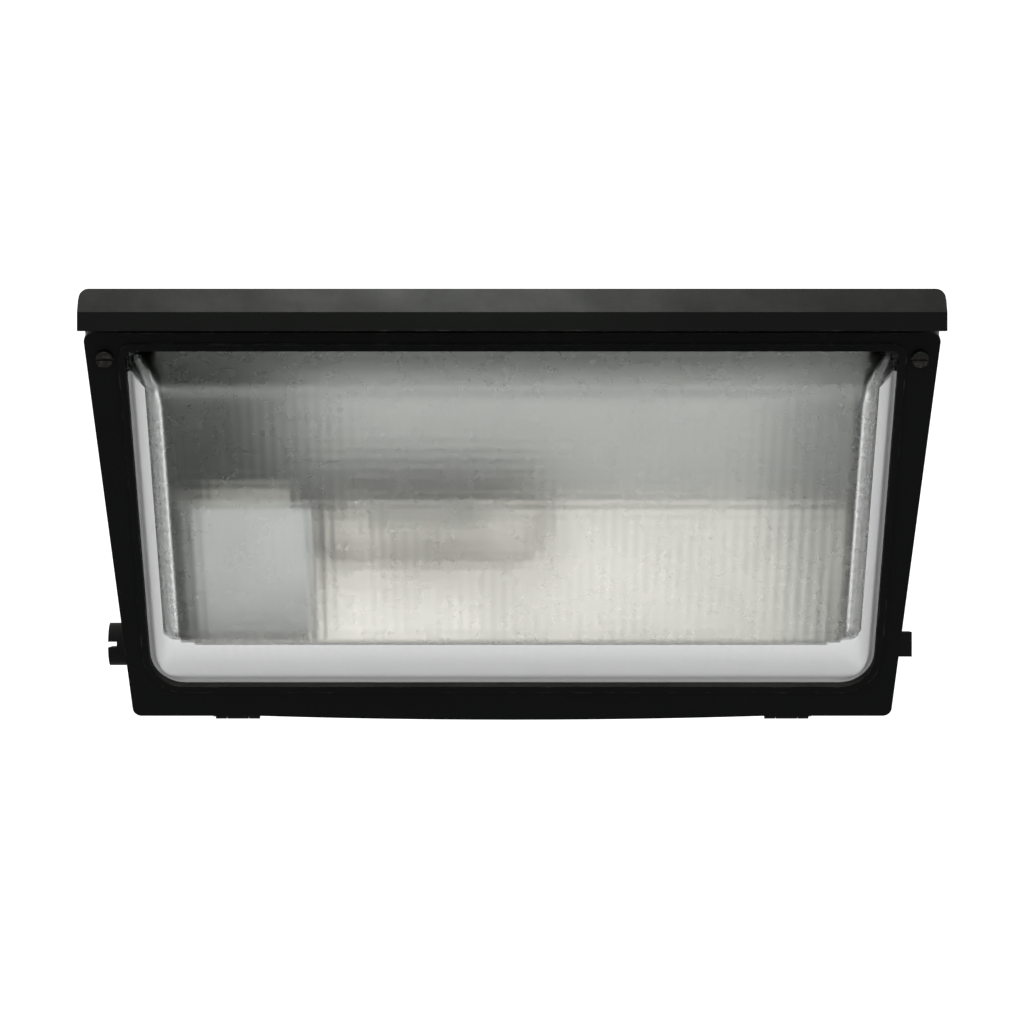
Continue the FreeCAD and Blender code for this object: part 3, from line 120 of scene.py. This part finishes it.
# %% Lamps
def soft_lamp(name, place, aim, side, level):
    """A square lamp at place, turned to aim, that lights a white card there to level."""
    data = bpy.data.lights.new(name, "AREA")
    lamp = bpy.data.objects.new(name, data)
    bpy.context.collection.objects.link(lamp)
    away = np.subtract(aim, place)
    distance = float(np.linalg.norm(away))
    data.size = side
    data.energy = level * math.pi ** 2 * distance ** 2
    lamp.location = place
    heading = Vector(away.tolist())
    lamp.rotation_euler = heading.to_track_quat("-Z", "Y").to_euler()
    print(name, "power in W:", round(data.energy, 1))
    return lamp


FRONT_OF_LIGHT = (0, -0.17, 0)
soft_lamp("key_lamp", (-0.7, -1.9, 1.3), FRONT_OF_LIGHT, 1.4, 0.20)
soft_lamp("fill_lamp", (1.3, -1.7, 0.4), FRONT_OF_LIGHT, 1.2, 0.08)
top_lamp = soft_lamp("top_lamp", (-0.04, -0.27, 0.29), (-0.04, -0.22, 0.11), 0.08, 4.7)
top_lamp.visible_glossy = False
top_lamp.visible_transmission = False


# %% [markdown]
# ## Surface effects in groups
#
# Paint, porcelain and plastics share a fine grain, and the paint also carries dust and
# painted light on what faces up, and rubbed edges. Each effect is a node group with named
# inputs, made once, and each material sets its own values. A group hands out only masks and
# heights.


# %% A helper for node groups
def new_group(name, inputs, outputs):
    """An empty node group. inputs is {name: value}, outputs a list of names, all floats."""
    group = bpy.data.node_groups.new(name, "ShaderNodeTree")
    for label, value in inputs.items():
        socket = group.interface.new_socket(label, in_out="INPUT", socket_type="NodeSocketFloat")
        socket.default_value = value
    for label in outputs:
        group.interface.new_socket(label, in_out="OUTPUT", socket_type="NodeSocketFloat")
    return group, group.nodes.new("NodeGroupInput"), group.nodes.new("NodeGroupOutput")


def add_node(tree, kind, links=None, **settings):
    """A node of that kind. links is {input: socket or value}; settings are its properties."""
    node = tree.nodes.new("ShaderNode" + kind)
    for key, value in settings.items():
        setattr(node, key, value)
    for key, source in (links or {}).items():
        if isinstance(source, bpy.types.NodeSocket):
            tree.links.new(source, node.inputs[key])
        else:
            node.inputs[key].default_value = source
    return node


def math_node(tree, operation, first, second=0.5, third=0.5):
    """One Math node's output; each input is a socket or a number."""
    links = {0: first, 1: second, 2: third}
    return add_node(tree, "Math", links, operation=operation).outputs[0]


def smooth_ramp(tree, value, low, high, to_low=0.0, to_high=1.0):
    """A Map Range with a smooth step from low to high."""
    links = {"Value": value, "From Min": low, "From Max": high,
             "To Min": to_low, "To Max": to_high}
    node = add_node(tree, "MapRange", links, interpolation_type="SMOOTHSTEP")
    return node.outputs["Result"]


def noise_at(tree, scale, detail=3.0, rough=0.5, stretch=None):
    """A Noise texture on object coordinates, stretched along the axes if asked."""
    where = add_node(tree, "TexCoord").outputs["Object"]
    if stretch:
        where = add_node(tree, "Mapping", {"Vector": where, "Scale": stretch}).outputs[0]
    links = {"Vector": where, "Scale": scale, "Detail": detail, "Roughness": rough}
    return add_node(tree, "TexNoise", links).outputs["Fac"]


# %% Grain, dust with painted light, and rubbed edges
grain, given, handed = new_group("fine_grain", {"Pores per metre": 900.0}, ["Height", "Tone"])
pores = noise_at(grain, given.outputs[0], 2.0, 0.6)
patches = noise_at(grain, 14.0, 4.0, 0.55)
grain.links.new(pores, handed.inputs["Height"])
grain.links.new(patches, handed.inputs["Tone"])
print("grain: pores and wide patches")

# This mask is partly dust and partly painted light: surfaces that face up are made paler, as if
# lit from above; the thin streaks are dirt.
dust_light_group, given, handed = new_group("dust_and_top_light", {"Amount": 0.5, "Streaks": 0.3}, ["Mask"])
facing = add_node(dust_light_group, "NewGeometry").outputs["Normal"]
upward = add_node(dust_light_group, "SeparateXYZ", {0: facing}).outputs["Z"]
lies = smooth_ramp(dust_light_group, upward, 0.25, 0.95)
cloud = smooth_ramp(dust_light_group, noise_at(dust_light_group, 26.0, 5.0, 0.62), 0.3, 0.75, 0.55, 1.0)
# film is the up-facing part of the mask: painted light from above, in dust-like clouds.
film = math_node(dust_light_group, "MULTIPLY", lies, cloud)
run_marks = noise_at(dust_light_group, 30.0, 3.0, 0.6, (1.0, 1.0, 0.06))
runs = smooth_ramp(dust_light_group, run_marks, 0.55, 0.8)
streaked = math_node(dust_light_group, "MULTIPLY_ADD", runs, given.outputs["Streaks"],
                     math_node(dust_light_group, "MULTIPLY", film, given.outputs["Amount"]))
dust_light_group.links.new(math_node(dust_light_group, "MINIMUM", streaked, 1.0), handed.inputs["Mask"])
print("dust: by how far a surface faces up, with thin streaks")

worn, given, handed = new_group("rubbed_edge", {"Reach": 0.0012, "Patchiness": 0.5}, ["Mask"])
rounded = add_node(worn, "Bevel", {"Radius": given.outputs["Reach"]}, samples=4)
flat_way = add_node(worn, "NewGeometry").outputs["Normal"]
along = add_node(worn, "VectorMath", {0: rounded.outputs[0], 1: flat_way}, operation="DOT_PRODUCT")
turn = math_node(worn, "SUBTRACT", 1.0, along.outputs["Value"])
edge = smooth_ramp(worn, turn, 0.02, 0.16)
spots = noise_at(worn, 95.0, 4.0, 0.65)
kept = smooth_ramp(worn, math_node(worn, "ADD", spots, given.outputs["Patchiness"]), 0.92, 1.12)
worn.links.new(math_node(worn, "MULTIPLY", edge, kept), handed.inputs["Mask"])
print("rubbed edge: where the rounded and the flat normal differ, in patches")


# %% A helper for finishes
def new_finish(name, rough=0.5, metal=0.0, specular=0.5, colour=(0.5, 0.5, 0.5), **shell):
    """A material whose tree holds one Principled shader, returned as (material, tree, shader)."""
    finish = bpy.data.materials.new(name)
    finish.use_nodes = True
    tree = finish.node_tree
    shader = tree.nodes["Principled BSDF"]
    shader.inputs["Base Color"].default_value = (*colour, 1)
    shader.inputs["Roughness"].default_value = rough
    shader.inputs["Metallic"].default_value = metal
    shader.inputs["Specular IOR Level"].default_value = specular
    for label, value in shell.items():
        shader.inputs[label.replace("_", " ")].default_value = value
    return finish, tree, shader


def use_group(tree, name, **values):
    """One of the shared groups placed in a material, with its inputs set."""
    node = tree.nodes.new("ShaderNodeGroup")
    node.node_tree = bpy.data.node_groups[name]
    for label, value in values.items():
        node.inputs[label.replace("_", " ")].default_value = value
    return node.outputs


def blend_colour(tree, mask, under, over):
    """Colour that goes from under to over by the mask; each is a socket or an (r, g, b)."""
    node = add_node(tree, "Mix", data_type="RGBA")
    for key, source in ((6, under), (7, over)):
        if isinstance(source, bpy.types.NodeSocket):
            tree.links.new(source, node.inputs[key])
        else:
            node.inputs[key].default_value = (*source, 1)
    tree.links.new(mask, node.inputs[0])
    return node.outputs[2]


def bump(tree, shader, height, depth, strength=0.5):
    """Turns a height into the shader's normal; depth is the height of 1, in metres."""
    node = add_node(tree, "Bump", {"Height": height, "Distance": depth, "Strength": strength})
    tree.links.new(node.outputs[0], shader.inputs["Normal"])


def dress(finish, *names):
    """Puts a finish on CAD nodes, through their material slots only."""
    for name in names:
        for slot in NODES[name].material_slots:
            slot.material = finish
    print(finish.name, "on", len(names), "solids")


# %% [markdown]
# ## Cast paint
#
# The box and the door are die castings with a thin black coat. Such paint is nearly dead
# black, a little rough, with a fine orange-peel skin. A pale film is laid on what faces the
# sky, partly dust and partly painted light from above, which is why the front lip of the hood
# looks grey beside the black face under it. One plain colour would lose all of that, so the
# film, the grain and the rubbed edges are laid over the black as masks.


# %% Cast paint
def cast_paint(name, black, film, dust_light_amount, pore_count):
    """Black coat: pores as height, a pale film of dust and painted light on top faces, bare grey
    on rubbed edges.
    """
    finish, tree, shader = new_finish(name, 0.42, 0.0, 0.04)
    skin = use_group(tree, "fine_grain", Pores_per_metre=pore_count)
    dust_and_light = use_group(tree, "dust_and_top_light", Amount=dust_light_amount, Streaks=0.012)
    rubbed = use_group(tree, "rubbed_edge", Reach=0.0011, Patchiness=0.42)
    faded = tuple(1.7 * c for c in black)
    coat = blend_colour(tree, skin["Tone"], black, faded)
    # Up-facing faces take the pale colour: dust and painted light.
    dusted_and_lit = blend_colour(tree, dust_and_light["Mask"], coat, film)
    bare = blend_colour(tree, rubbed["Mask"], dusted_and_lit, (0.045, 0.045, 0.042))
    tree.links.new(bare, shader.inputs["Base Color"])
    dulled = math_node(tree, "MULTIPLY_ADD", dust_and_light["Mask"], 0.35, 0.40)
    tree.links.new(math_node(tree, "MULTIPLY_ADD", skin["Height"], 0.12, dulled),
                   shader.inputs["Roughness"])
    bump(tree, shader, skin["Height"], 0.00012, 0.6)
    return finish


# Pale colour for up-facing faces: partly dust, partly painted light.
DUST_AND_TOP_LIGHT = (0.066, 0.067, 0.062)
dress(cast_paint("housing_paint", (0.0030, 0.0034, 0.0030), DUST_AND_TOP_LIGHT, 0.8, 850), "housing")
dress(cast_paint("door_paint", (0.0034, 0.0040, 0.0035), DUST_AND_TOP_LIGHT, 0.7, 950), "door_frame")
dress(cast_paint("plug_paint", (0.006, 0.0066, 0.006), DUST_AND_TOP_LIGHT, 0.6, 1200),
      "hub_plug_left", "hub_plug_right")

# %% [markdown]
# ## Reflector and other sheet
#
# The reflector is bright anodised aluminium. Rolling leaves long fine lines in it, a
# noise that is stretched along the sheet and used as a very low bump and as small
# changes of roughness. The upper panel, above the lamp, is painted light: it is made a dull
# white that is not metal, for the brightness it shows there, while the lower panel stays bright
# metal. Painted shade darkens it by the lampholder, under the hood and at the far end. These
# marks could be painted on an image, but each one simply grows along an axis, so smooth
# steps along X and Z say the same in a few numbers.


# %% Sheet metals
def rolled_sheet(name, colour, rough, lines, line_depth, metal):
    """Metal with stretched noise as rolling lines, returned with its colour's socket."""
    finish, tree, shader = new_finish(name, rough, metal, 0.5, colour)
    streaks = noise_at(tree, lines, 3.0, 0.6, (0.03, 1.0, 1.0))
    blotches = noise_at(tree, 18.0, 4.0, 0.6)
    tree.links.new(smooth_ramp(tree, streaks, 0.25, 0.75, rough * 0.75, rough * 1.3),
                   shader.inputs["Roughness"])
    dull = tuple(0.86 * c for c in colour)
    tone = blend_colour(tree, smooth_ramp(tree, blotches, 0.35, 0.8), colour, dull)
    tree.links.new(tone, shader.inputs["Base Color"])
    bump(tree, shader, streaks, line_depth, 0.5)
    return finish, tree, shader, tone


# %% Painted light and shade on the reflector
bright_sheet, tree, shader, tone = rolled_sheet("bright_sheet", (0.73, 0.70, 0.665), 0.32, 900,
                                                0.00002, 1.0)
where = add_node(tree, "SeparateXYZ", {0: add_node(tree, "TexCoord").outputs["Object"]}).outputs
# Painted light: above the crease the upper panel turns a dull white.
painted_upper_light = smooth_ramp(tree, where["Z"], 0.004, 0.012)
# Painted shade by the lampholder, on the upper panel.
painted_socket_shade = math_node(tree, "MULTIPLY", painted_upper_light, smooth_ramp(tree, where["X"], -0.075, -0.165))
tone = blend_colour(tree, painted_upper_light, tone, (0.97, 0.97, 0.945))
tone = blend_colour(tree, painted_socket_shade, tone, (0.12, 0.14, 0.12))
# Painted shade under the hood and at the far end.
painted_hood_shade = smooth_ramp(tree, where["Z"], 0.062, 0.082, 0.0, 0.8)
painted_end_shade = smooth_ramp(tree, where["X"], 0.125, 0.18, 0.0, 0.5)
tone = blend_colour(tree, math_node(tree, "MAXIMUM", painted_hood_shade, painted_end_shade), tone,
                    (0.24, 0.25, 0.24))
tree.links.new(tone, shader.inputs["Base Color"])
# The painted-light upper panel also loses its metal.
tree.links.new(smooth_ramp(tree, painted_upper_light, 0.0, 1.0, 1.0, 0.0), shader.inputs["Metallic"])
dress(bright_sheet, "reflector")

# %% Cover over the wires, with painted shade at its far end
cover_sheet, tree, shader, tone = rolled_sheet("cover_sheet", (0.93, 0.935, 0.93), 0.5, 700,
                                               0.00003, 0.45)
where = add_node(tree, "SeparateXYZ", {0: add_node(tree, "TexCoord").outputs["Object"]}).outputs
# Painted shade: the cover turns dark towards its left end.
painted_cover_shade = smooth_ramp(tree, where["X"], -0.168, -0.186, 0.0, 0.9)
tree.links.new(blend_colour(tree, painted_cover_shade, tone, (0.12, 0.13, 0.12)), shader.inputs["Base Color"])
dress(cover_sheet, "socket_bracket", "capacitor")


# %% Plated fixings
def plated(name, colour, rough, stain):
    """Plated or bare small parts: metal with specks of dull stain and a fine bump."""
    finish, tree, shader = new_finish(name, rough, 1.0, 0.5, colour)
    specks = smooth_ramp(tree, noise_at(tree, 420.0, 4.0, 0.65), 0.45, 0.8)
    tree.links.new(blend_colour(tree, specks, colour, stain), shader.inputs["Base Color"])
    tree.links.new(smooth_ramp(tree, specks, 0.0, 1.0, rough, rough + 0.3),
                   shader.inputs["Roughness"])
    bump(tree, shader, specks, 0.00003, 0.4)
    return finish


dress(plated("zinc_plate", (0.62, 0.61, 0.57), 0.30, (0.36, 0.35, 0.32)), "clip_screws",
      "reflector_screws", "terminal_screws", "gear_screws", "ballast_feet")
dress(plated("spring_plate", (0.50, 0.50, 0.48), 0.34, (0.30, 0.29, 0.27)),
      "refractor_clips", "capacitor_clamp")
dress(plated("black_oxide", (0.018, 0.018, 0.018), 0.38, (0.08, 0.06, 0.045)),
      "door_screw_left", "door_screw_right")
dress(plated("pin_steel", (0.32, 0.32, 0.31), 0.32, (0.16, 0.13, 0.10)), "hinge_pins")
dress(plated("shell_brass", (0.60, 0.46, 0.20), 0.33, (0.33, 0.25, 0.13)),
      "socket_screw_shell")
nickel_brass = plated("nickel_brass", (0.70, 0.66, 0.54), 0.3, (0.46, 0.42, 0.32))
dress(plated("ground_green", (0.03, 0.30, 0.10), 0.40, (0.02, 0.16, 0.06)), "ground_screw")


# %% [markdown]
# ## Porcelain, silicone, plastics and the lamp
#
# These are dull or glazed bodies, so they keep Metallic at 0. Each still has something
# to catch the eye close up: glaze that pools, silicone that picks up dust, varnish that
# runs dark, a moulded skin on the plastic cases.


# %% Dull and glazed bodies
def moulded(name, colour, rough, mottle, grain_scale, depth, **shell):
    """A non-metal: two near colours mixed by wide noise, with a fine moulded skin."""
    finish, tree, shader = new_finish(name, rough, 0.0, 0.4, colour, **shell)
    skin = use_group(tree, "fine_grain", Pores_per_metre=grain_scale)
    wide = smooth_ramp(tree, skin["Tone"], 0.3, 0.72)
    tree.links.new(blend_colour(tree, wide, colour, mottle), shader.inputs["Base Color"])
    tree.links.new(smooth_ramp(tree, skin["Height"], 0.2, 0.8, rough * 0.85, rough * 1.15),
                   shader.inputs["Roughness"])
    bump(tree, shader, skin["Height"], depth, 0.5)
    return finish


dress(moulded("glazed_porcelain", (0.80, 0.78, 0.72), 0.22, (0.74, 0.71, 0.63), 160,
              0.00005, Coat_Weight=0.6, Coat_Roughness=0.08), "lamp_socket")
dress(moulded("grey_silicone", (0.33, 0.33, 0.315), 0.62, (0.27, 0.27, 0.25), 700, 0.00008),
      "refractor_seal", "door_seal")
dress(moulded("potted_case", (0.018, 0.018, 0.02), 0.5, (0.03, 0.03, 0.03), 900, 0.0001),
      "ignitor")
dress(moulded("terminal_nylon", (0.74, 0.71, 0.62), 0.42, (0.68, 0.64, 0.53), 800, 0.00005),
      "terminal_block")
dress(moulded("varnished_core", (0.035, 0.028, 0.022), 0.35, (0.06, 0.045, 0.032), 500,
              0.0001, Coat_Weight=0.5, Coat_Roughness=0.2), "ballast_core")
dress(moulded("wound_tape", (0.42, 0.22, 0.07), 0.45, (0.30, 0.15, 0.05), 600, 0.0001),
      "ballast_coil")
dress(moulded("arc_alumina", (0.86, 0.85, 0.80), 0.35, (0.80, 0.78, 0.72), 1200, 0.00003,
              Subsurface_Weight=0.3, Subsurface_Scale=0.003), "lamp_arc_tube")
lamp_glass, tree, shader = new_finish("lamp_glass", 0.03, 0.0, 0.5, (0.99, 0.985, 0.975),
                                      Transmission_Weight=1.0, IOR=1.47)
film = smooth_ramp(tree, noise_at(tree, 30.0, 4.0, 0.6), 0.3, 0.8, 0.02, 0.09)
tree.links.new(film, shader.inputs["Roughness"])
dress(lamp_glass, "lamp_envelope")


# %% [markdown]
# ## Floor
#
# A light that hangs on a wall has no floor at its feet. The floor lies well below it, out
# of the picture, where it gives the underside its shade and takes the shadow. One face
# is enough for that.

# %% Floor
FLOOR_DROP = 0.8
FLOOR_REACH = 1.6
corner_signs = np.array([(-1, -1), (1, -1), (1, 1), (-1, 1)]) * FLOOR_REACH
floor_points = np.column_stack([corner_signs, np.full(4, -FLOOR_DROP)])
floor_mesh = bpy.data.meshes.new("studio_floor")
floor_mesh.from_pydata(floor_points.tolist(), [], [(0, 1, 2, 3)])
floor = bpy.data.objects.new("studio_floor", floor_mesh)
bpy.context.collection.objects.link(floor)
pale_floor, tree, shader = new_finish("pale_floor", 0.8, 0.0, 0.2)
cloudy = smooth_ramp(tree, noise_at(tree, 6.0, 3.0, 0.5), 0.3, 0.7)
tree.links.new(blend_colour(tree, cloudy, (0.80, 0.80, 0.80), (0.76, 0.76, 0.76)),
               shader.inputs["Base Color"])
floor_mesh.materials.append(pale_floor)
print("floor at z", -FLOOR_DROP)


# %% [markdown]
# ## The ribbed glass
#
# The glass is one pressed pan. It has a flat flange that the door's clips hold, steep
# walls on all four sides, the lowest one gentler, and a flat front face. Ribs run up and
# down its outside and low prisms run across its inside, so what lies behind is blurred.
# It could be a box with bevels, but ribs would then need a boolean or a displacement.
# A height field does it all: for each point within the flange's outline we work out how
# far the glass stands out of the door, once for the outside and once for the inside.
# The side and lower walls carry steep prisms that throw the light back, so they look
# white: they get a frosted finish, which lets little light through.

# %% The door's own plane
DOOR_TILT = math.radians(23.5)
DOOR_FOOT = np.array([-0.121045, -0.1162])


def on_the_door(across, up, deep):
    """Points of the leaning door: up runs up its slope and deep goes into the box.

    y = foot_y - up sin(tilt) + deep cos(tilt) and z = foot_z + up cos(tilt) + deep sin(tilt).
    """
    lean, rise = math.sin(DOOR_TILT), math.cos(DOOR_TILT)
    y = DOOR_FOOT[0] - up * lean + deep * rise
    z = DOOR_FOOT[1] + up * rise + deep * lean
    return np.stack(np.broadcast_arrays(across, y, z), axis=-1)


# %% Helpers that turn grids into meshes
def grid_faces(rows, columns, start=0, close_columns=False):
    """Quads of a grid of points numbered row by row; the last column can meet the first."""
    row, column = np.meshgrid(np.arange(rows - 1),
                              np.arange(columns if close_columns else columns - 1),
                              indexing="ij")
    beside = (column + 1) % columns
    quads = [row * columns + column, row * columns + beside,
             (row + 1) * columns + beside, (row + 1) * columns + column]
    return np.stack(quads, axis=-1).reshape(-1, 4) + start


def make_piece(name, points, faces, body, finish):
    """A mesh object from an array of points and a list of faces, riding on a body."""
    mesh = bpy.data.meshes.new(name)
    mesh.from_pydata(points.reshape(-1, 3).tolist(), [], [list(face) for face in faces])
    mesh.polygons.foreach_set("use_smooth", np.full(len(mesh.polygons), True))
    mesh.materials.append(finish)
    mesh.validate()
    mesh.update()
    piece = bpy.data.objects.new(name, mesh)
    bpy.context.collection.objects.link(piece)
    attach(piece, body)
    print(name, len(mesh.vertices), "points,", len(mesh.polygons), "faces")
    return piece


# %% Outline of the glass
VIEW_LOW, VIEW_HIGH = 19 * MM, 219.396 * MM
HALF_LOW, HALF_HIGH = 201.5 * MM, 208 * MM
FLANGE_LAP, GLASS_GAP = 4 * MM, 1.5 * MM
FOOT_ROUND = 19 * MM
RIBS, STEPS_PER_RIB = 70, 4
PRISM_PITCH, STEPS_PER_PRISM = 6 * MM, 4


def half_width(up, grow):
    """Half width of the opening at a height, grown by grow, with rounded lower corners.

    The straight side plus grow, less r - sqrt(r^2 - (r - d)^2) at d above the foot.
    """
    slope = (HALF_HIGH - HALF_LOW) / (VIEW_HIGH - VIEW_LOW)
    straight = HALF_LOW + slope * (up - VIEW_LOW) + grow
    radius = FOOT_ROUND + grow
    short = np.clip(radius - (up - (VIEW_LOW - grow)), 0, radius)
    return straight - (radius - np.sqrt(radius ** 2 - short ** 2))


across = np.linspace(-1, 1, RIBS * STEPS_PER_RIB + 1)
low, high = VIEW_LOW - FLANGE_LAP, VIEW_HIGH + FLANGE_LAP
corner_turn = np.linspace(0, math.pi / 2, 14)
corner_rows = low + (FOOT_ROUND + FLANGE_LAP) * (1 - np.cos(corner_turn))
straight_rows = np.arange(corner_rows[-1], high, PRISM_PITCH / STEPS_PER_PRISM)[1:]
up = np.concatenate([corner_rows, straight_rows, [high]])
print("glass grid:", len(up), "rows by", len(across), "columns")


# %% Height of the glass over its outline
PAN_BACK, GLASS_THICK, PAN_DEEP = 5.52 * MM, 3.96 * MM, 31.5 * MM
WALL_RUN = {"side": 13.5 * MM, "high": 11 * MM, "low": 30 * MM}
EDGE_SHARPNESS = 7
RIB_DEEP, PRISM_DEEP = 0.32 * MM, 0.28 * MM


def pan_height(x, up, shrink):
    """How far the pan rises at a point, from 0 at its outline to 1 on its front face.

    Each wall gives (distance to the outline) / (run of that wall). The heights are joined
    with 1 by a soft minimum, (a^-p + b^-p + c^-p + 1)^(-1/p), which rounds the edges.
    """
    side = half_width(up, -GLASS_GAP) - np.abs(x) - shrink
    foot = up - (VIEW_LOW + GLASS_GAP) - shrink
    head = (VIEW_HIGH - GLASS_GAP) - up - shrink
    sharp = -EDGE_SHARPNESS
    total = 1.0
    for distance, run in ((side, "side"), (foot, "low"), (head, "high")):
        total = total + np.maximum(distance / WALL_RUN[run], 1e-3) ** sharp
    return np.where(np.minimum(np.minimum(side, foot), head) > 0, total ** (1 / sharp), 0)


def settle(height):
    """A smooth step from 0 to 1, so that ribs fade out at the flange: 3h^2 - 2h^3."""
    h = np.clip(height * 1.6, 0, 1)
    return h * h * (3 - 2 * h)


# %% Points and faces of the glass
s, u = np.meshgrid(across, up)
x = s * half_width(u, FLANGE_LAP)
outer_rise = pan_height(x, u, 0.0)
inner_rise = pan_height(x, u, GLASS_THICK)
rib_turn = (s + 1) * RIBS / 2
ribs = RIB_DEEP * (1 - np.abs(np.sin(np.pi * rib_turn))) * settle(outer_rise)
prisms = PRISM_DEEP * np.mod((u - up[0]) / PRISM_PITCH, 1.0) * settle(inner_rise)
outside = on_the_door(x, u, PAN_BACK - PAN_DEEP * outer_rise + ribs)
inside = on_the_door(x, u, PAN_BACK + GLASS_THICK - PAN_DEEP * inner_rise + prisms)
rows, columns = s.shape
front = grid_faces(rows, columns)
back = grid_faces(rows, columns, rows * columns)[:, ::-1]
ring = np.concatenate([np.arange(columns), np.arange(1, rows) * columns + columns - 1,
                       (rows - 1) * columns + np.arange(columns - 2, -1, -1),
                       np.arange(rows - 2, 0, -1) * columns])
after = np.roll(ring, -1)
rim = np.stack([ring, ring + rows * columns, after + rows * columns, after], axis=-1)
print("walls and face rise by", PAN_DEEP / MM, "mm")


# %% Clear and frosted glass
def pressed_glass(name, passing, rough_low, rough_high, colour):
    """Glass whose roughness wanders a little, as the skin of a pressing does."""
    finish, tree, shader = new_finish(name, rough_low, 0.0, 0.5, colour,
                                      Transmission_Weight=passing, IOR=1.47)
    skin = noise_at(tree, 60.0, 4.0, 0.6)
    tree.links.new(smooth_ramp(tree, skin, 0.25, 0.8, rough_low, rough_high),
                   shader.inputs["Roughness"])
    bump(tree, shader, noise_at(tree, 420.0, 3.0, 0.5), 0.00002, 0.5)
    return finish


ribbed_glass = pressed_glass("ribbed_glass", 1.0, 0.23, 0.31, (0.95, 0.965, 0.95))
frosted_glass = pressed_glass("frosted_glass", 0.08, 0.45, 0.6, (0.98, 0.985, 0.985))

# %% The glass as one piece
FROST_ON_SIDES, FROST_ON_FOOT = 0.72, 0.97
FOOT_WALL_TOP, CLEAR_HEAD = 60 * MM, 14 * MM
glass = make_piece("ribbed_glass", np.concatenate([outside.reshape(-1, 3), inside.reshape(-1, 3)]),
                   np.concatenate([front, back, rim]), "door", ribbed_glass)
glass.data.materials.append(frosted_glass)
frost_top = np.where(u < FOOT_WALL_TOP, FROST_ON_FOOT, FROST_ON_SIDES)
walls = (outer_rise < frost_top) & (u < VIEW_HIGH - CLEAR_HEAD)
cells = walls[:-1, :-1] & walls[1:, 1:]
frosted = np.concatenate([cells.ravel(), cells.ravel(), np.zeros(len(rim), bool)])
glass.data.polygons.foreach_set("material_index", frosted.astype(np.int32))
print("share of the glass in its frosted walls:", round(float(cells.mean()), 3))
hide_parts("refractor")


# %% [markdown]
# ## The lamp's screw thread
#
# The solids give the lamp's base as a plain cylinder at its largest size. A lamp's thread
# is rolled from thin sheet, so it has no sharp edge: along the axis the radius follows a
# wave, and the wave is turned once for each turn round the axis. Where the thread ends,
# the wave fades out, which keeps the ends round. A bump map would do from afar, but it
# leaves the outline straight, so the wave is real.

# %% Outline of the base
base_low, base_high = (np.array(corner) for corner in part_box("lamp_base"))
BASE_RADIUS, TIP_RADIUS, TIP_LENGTH = 13 * MM, 4 * MM, 2 * MM
THREAD_LENGTH, THREAD_PITCH, THREAD_DEEP = 25 * MM, 3.63 * MM, 1.1 * MM
COLLAR_GAP = 0.5 * MM
AROUND, STEPS_PER_TURN = 72, 12
axis_y, axis_z = (base_low[1:] + base_high[1:]) / 2
thread_start = base_low[0] + TIP_LENGTH
print("base from x", round(float(base_low[0]), 4), "to", round(float(base_high[0]), 4))

# %% Thread
along = np.linspace(0, THREAD_LENGTH, int(THREAD_LENGTH / THREAD_PITCH * STEPS_PER_TURN))
turn = np.arange(AROUND) * 2 * np.pi / AROUND


def thread_radius(along, turn):
    """Radius minus half the depth times 1 - cos(2 pi along / pitch - turn), faded at both ends."""
    wave = 0.5 - 0.5 * np.cos(2 * np.pi * along / THREAD_PITCH - turn)
    fade = np.clip(np.minimum(along, THREAD_LENGTH - along) / THREAD_PITCH, 0, 1)
    return BASE_RADIUS - THREAD_DEEP * wave * fade


tip_rings = [(base_low[0], TIP_RADIUS), (thread_start, BASE_RADIUS - 2 * MM)]
collar_start, collar_radius = thread_start + THREAD_LENGTH + COLLAR_GAP, base_high[2] - axis_z
collar_rings = [(collar_start, BASE_RADIUS), (collar_start, collar_radius),
                (base_high[0], collar_radius)]
grid_along, grid_turn = np.meshgrid(along, turn, indexing="ij")
radius = np.vstack([np.full((1, AROUND), r) for _, r in tip_rings]
                   + [thread_radius(grid_along, grid_turn)]
                   + [np.full((1, AROUND), r) for _, r in collar_rings])
place = np.concatenate([[x for x, _ in tip_rings], thread_start + along,
                        [x for x, _ in collar_rings]])
points = np.stack([np.broadcast_to(place[:, None], radius.shape),
                   axis_y + radius * np.cos(turn), axis_z + radius * np.sin(turn)], axis=-1)
rings = len(place)
sides = grid_faces(rings, AROUND, close_columns=True)
low_cap = list(range(AROUND))[::-1]
high_cap = list(range((rings - 1) * AROUND, rings * AROUND))
lamp_thread = make_piece("lamp_thread", points, sides.tolist() + [low_cap, high_cap], "lamp",
                         nickel_brass)
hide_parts("lamp_base")
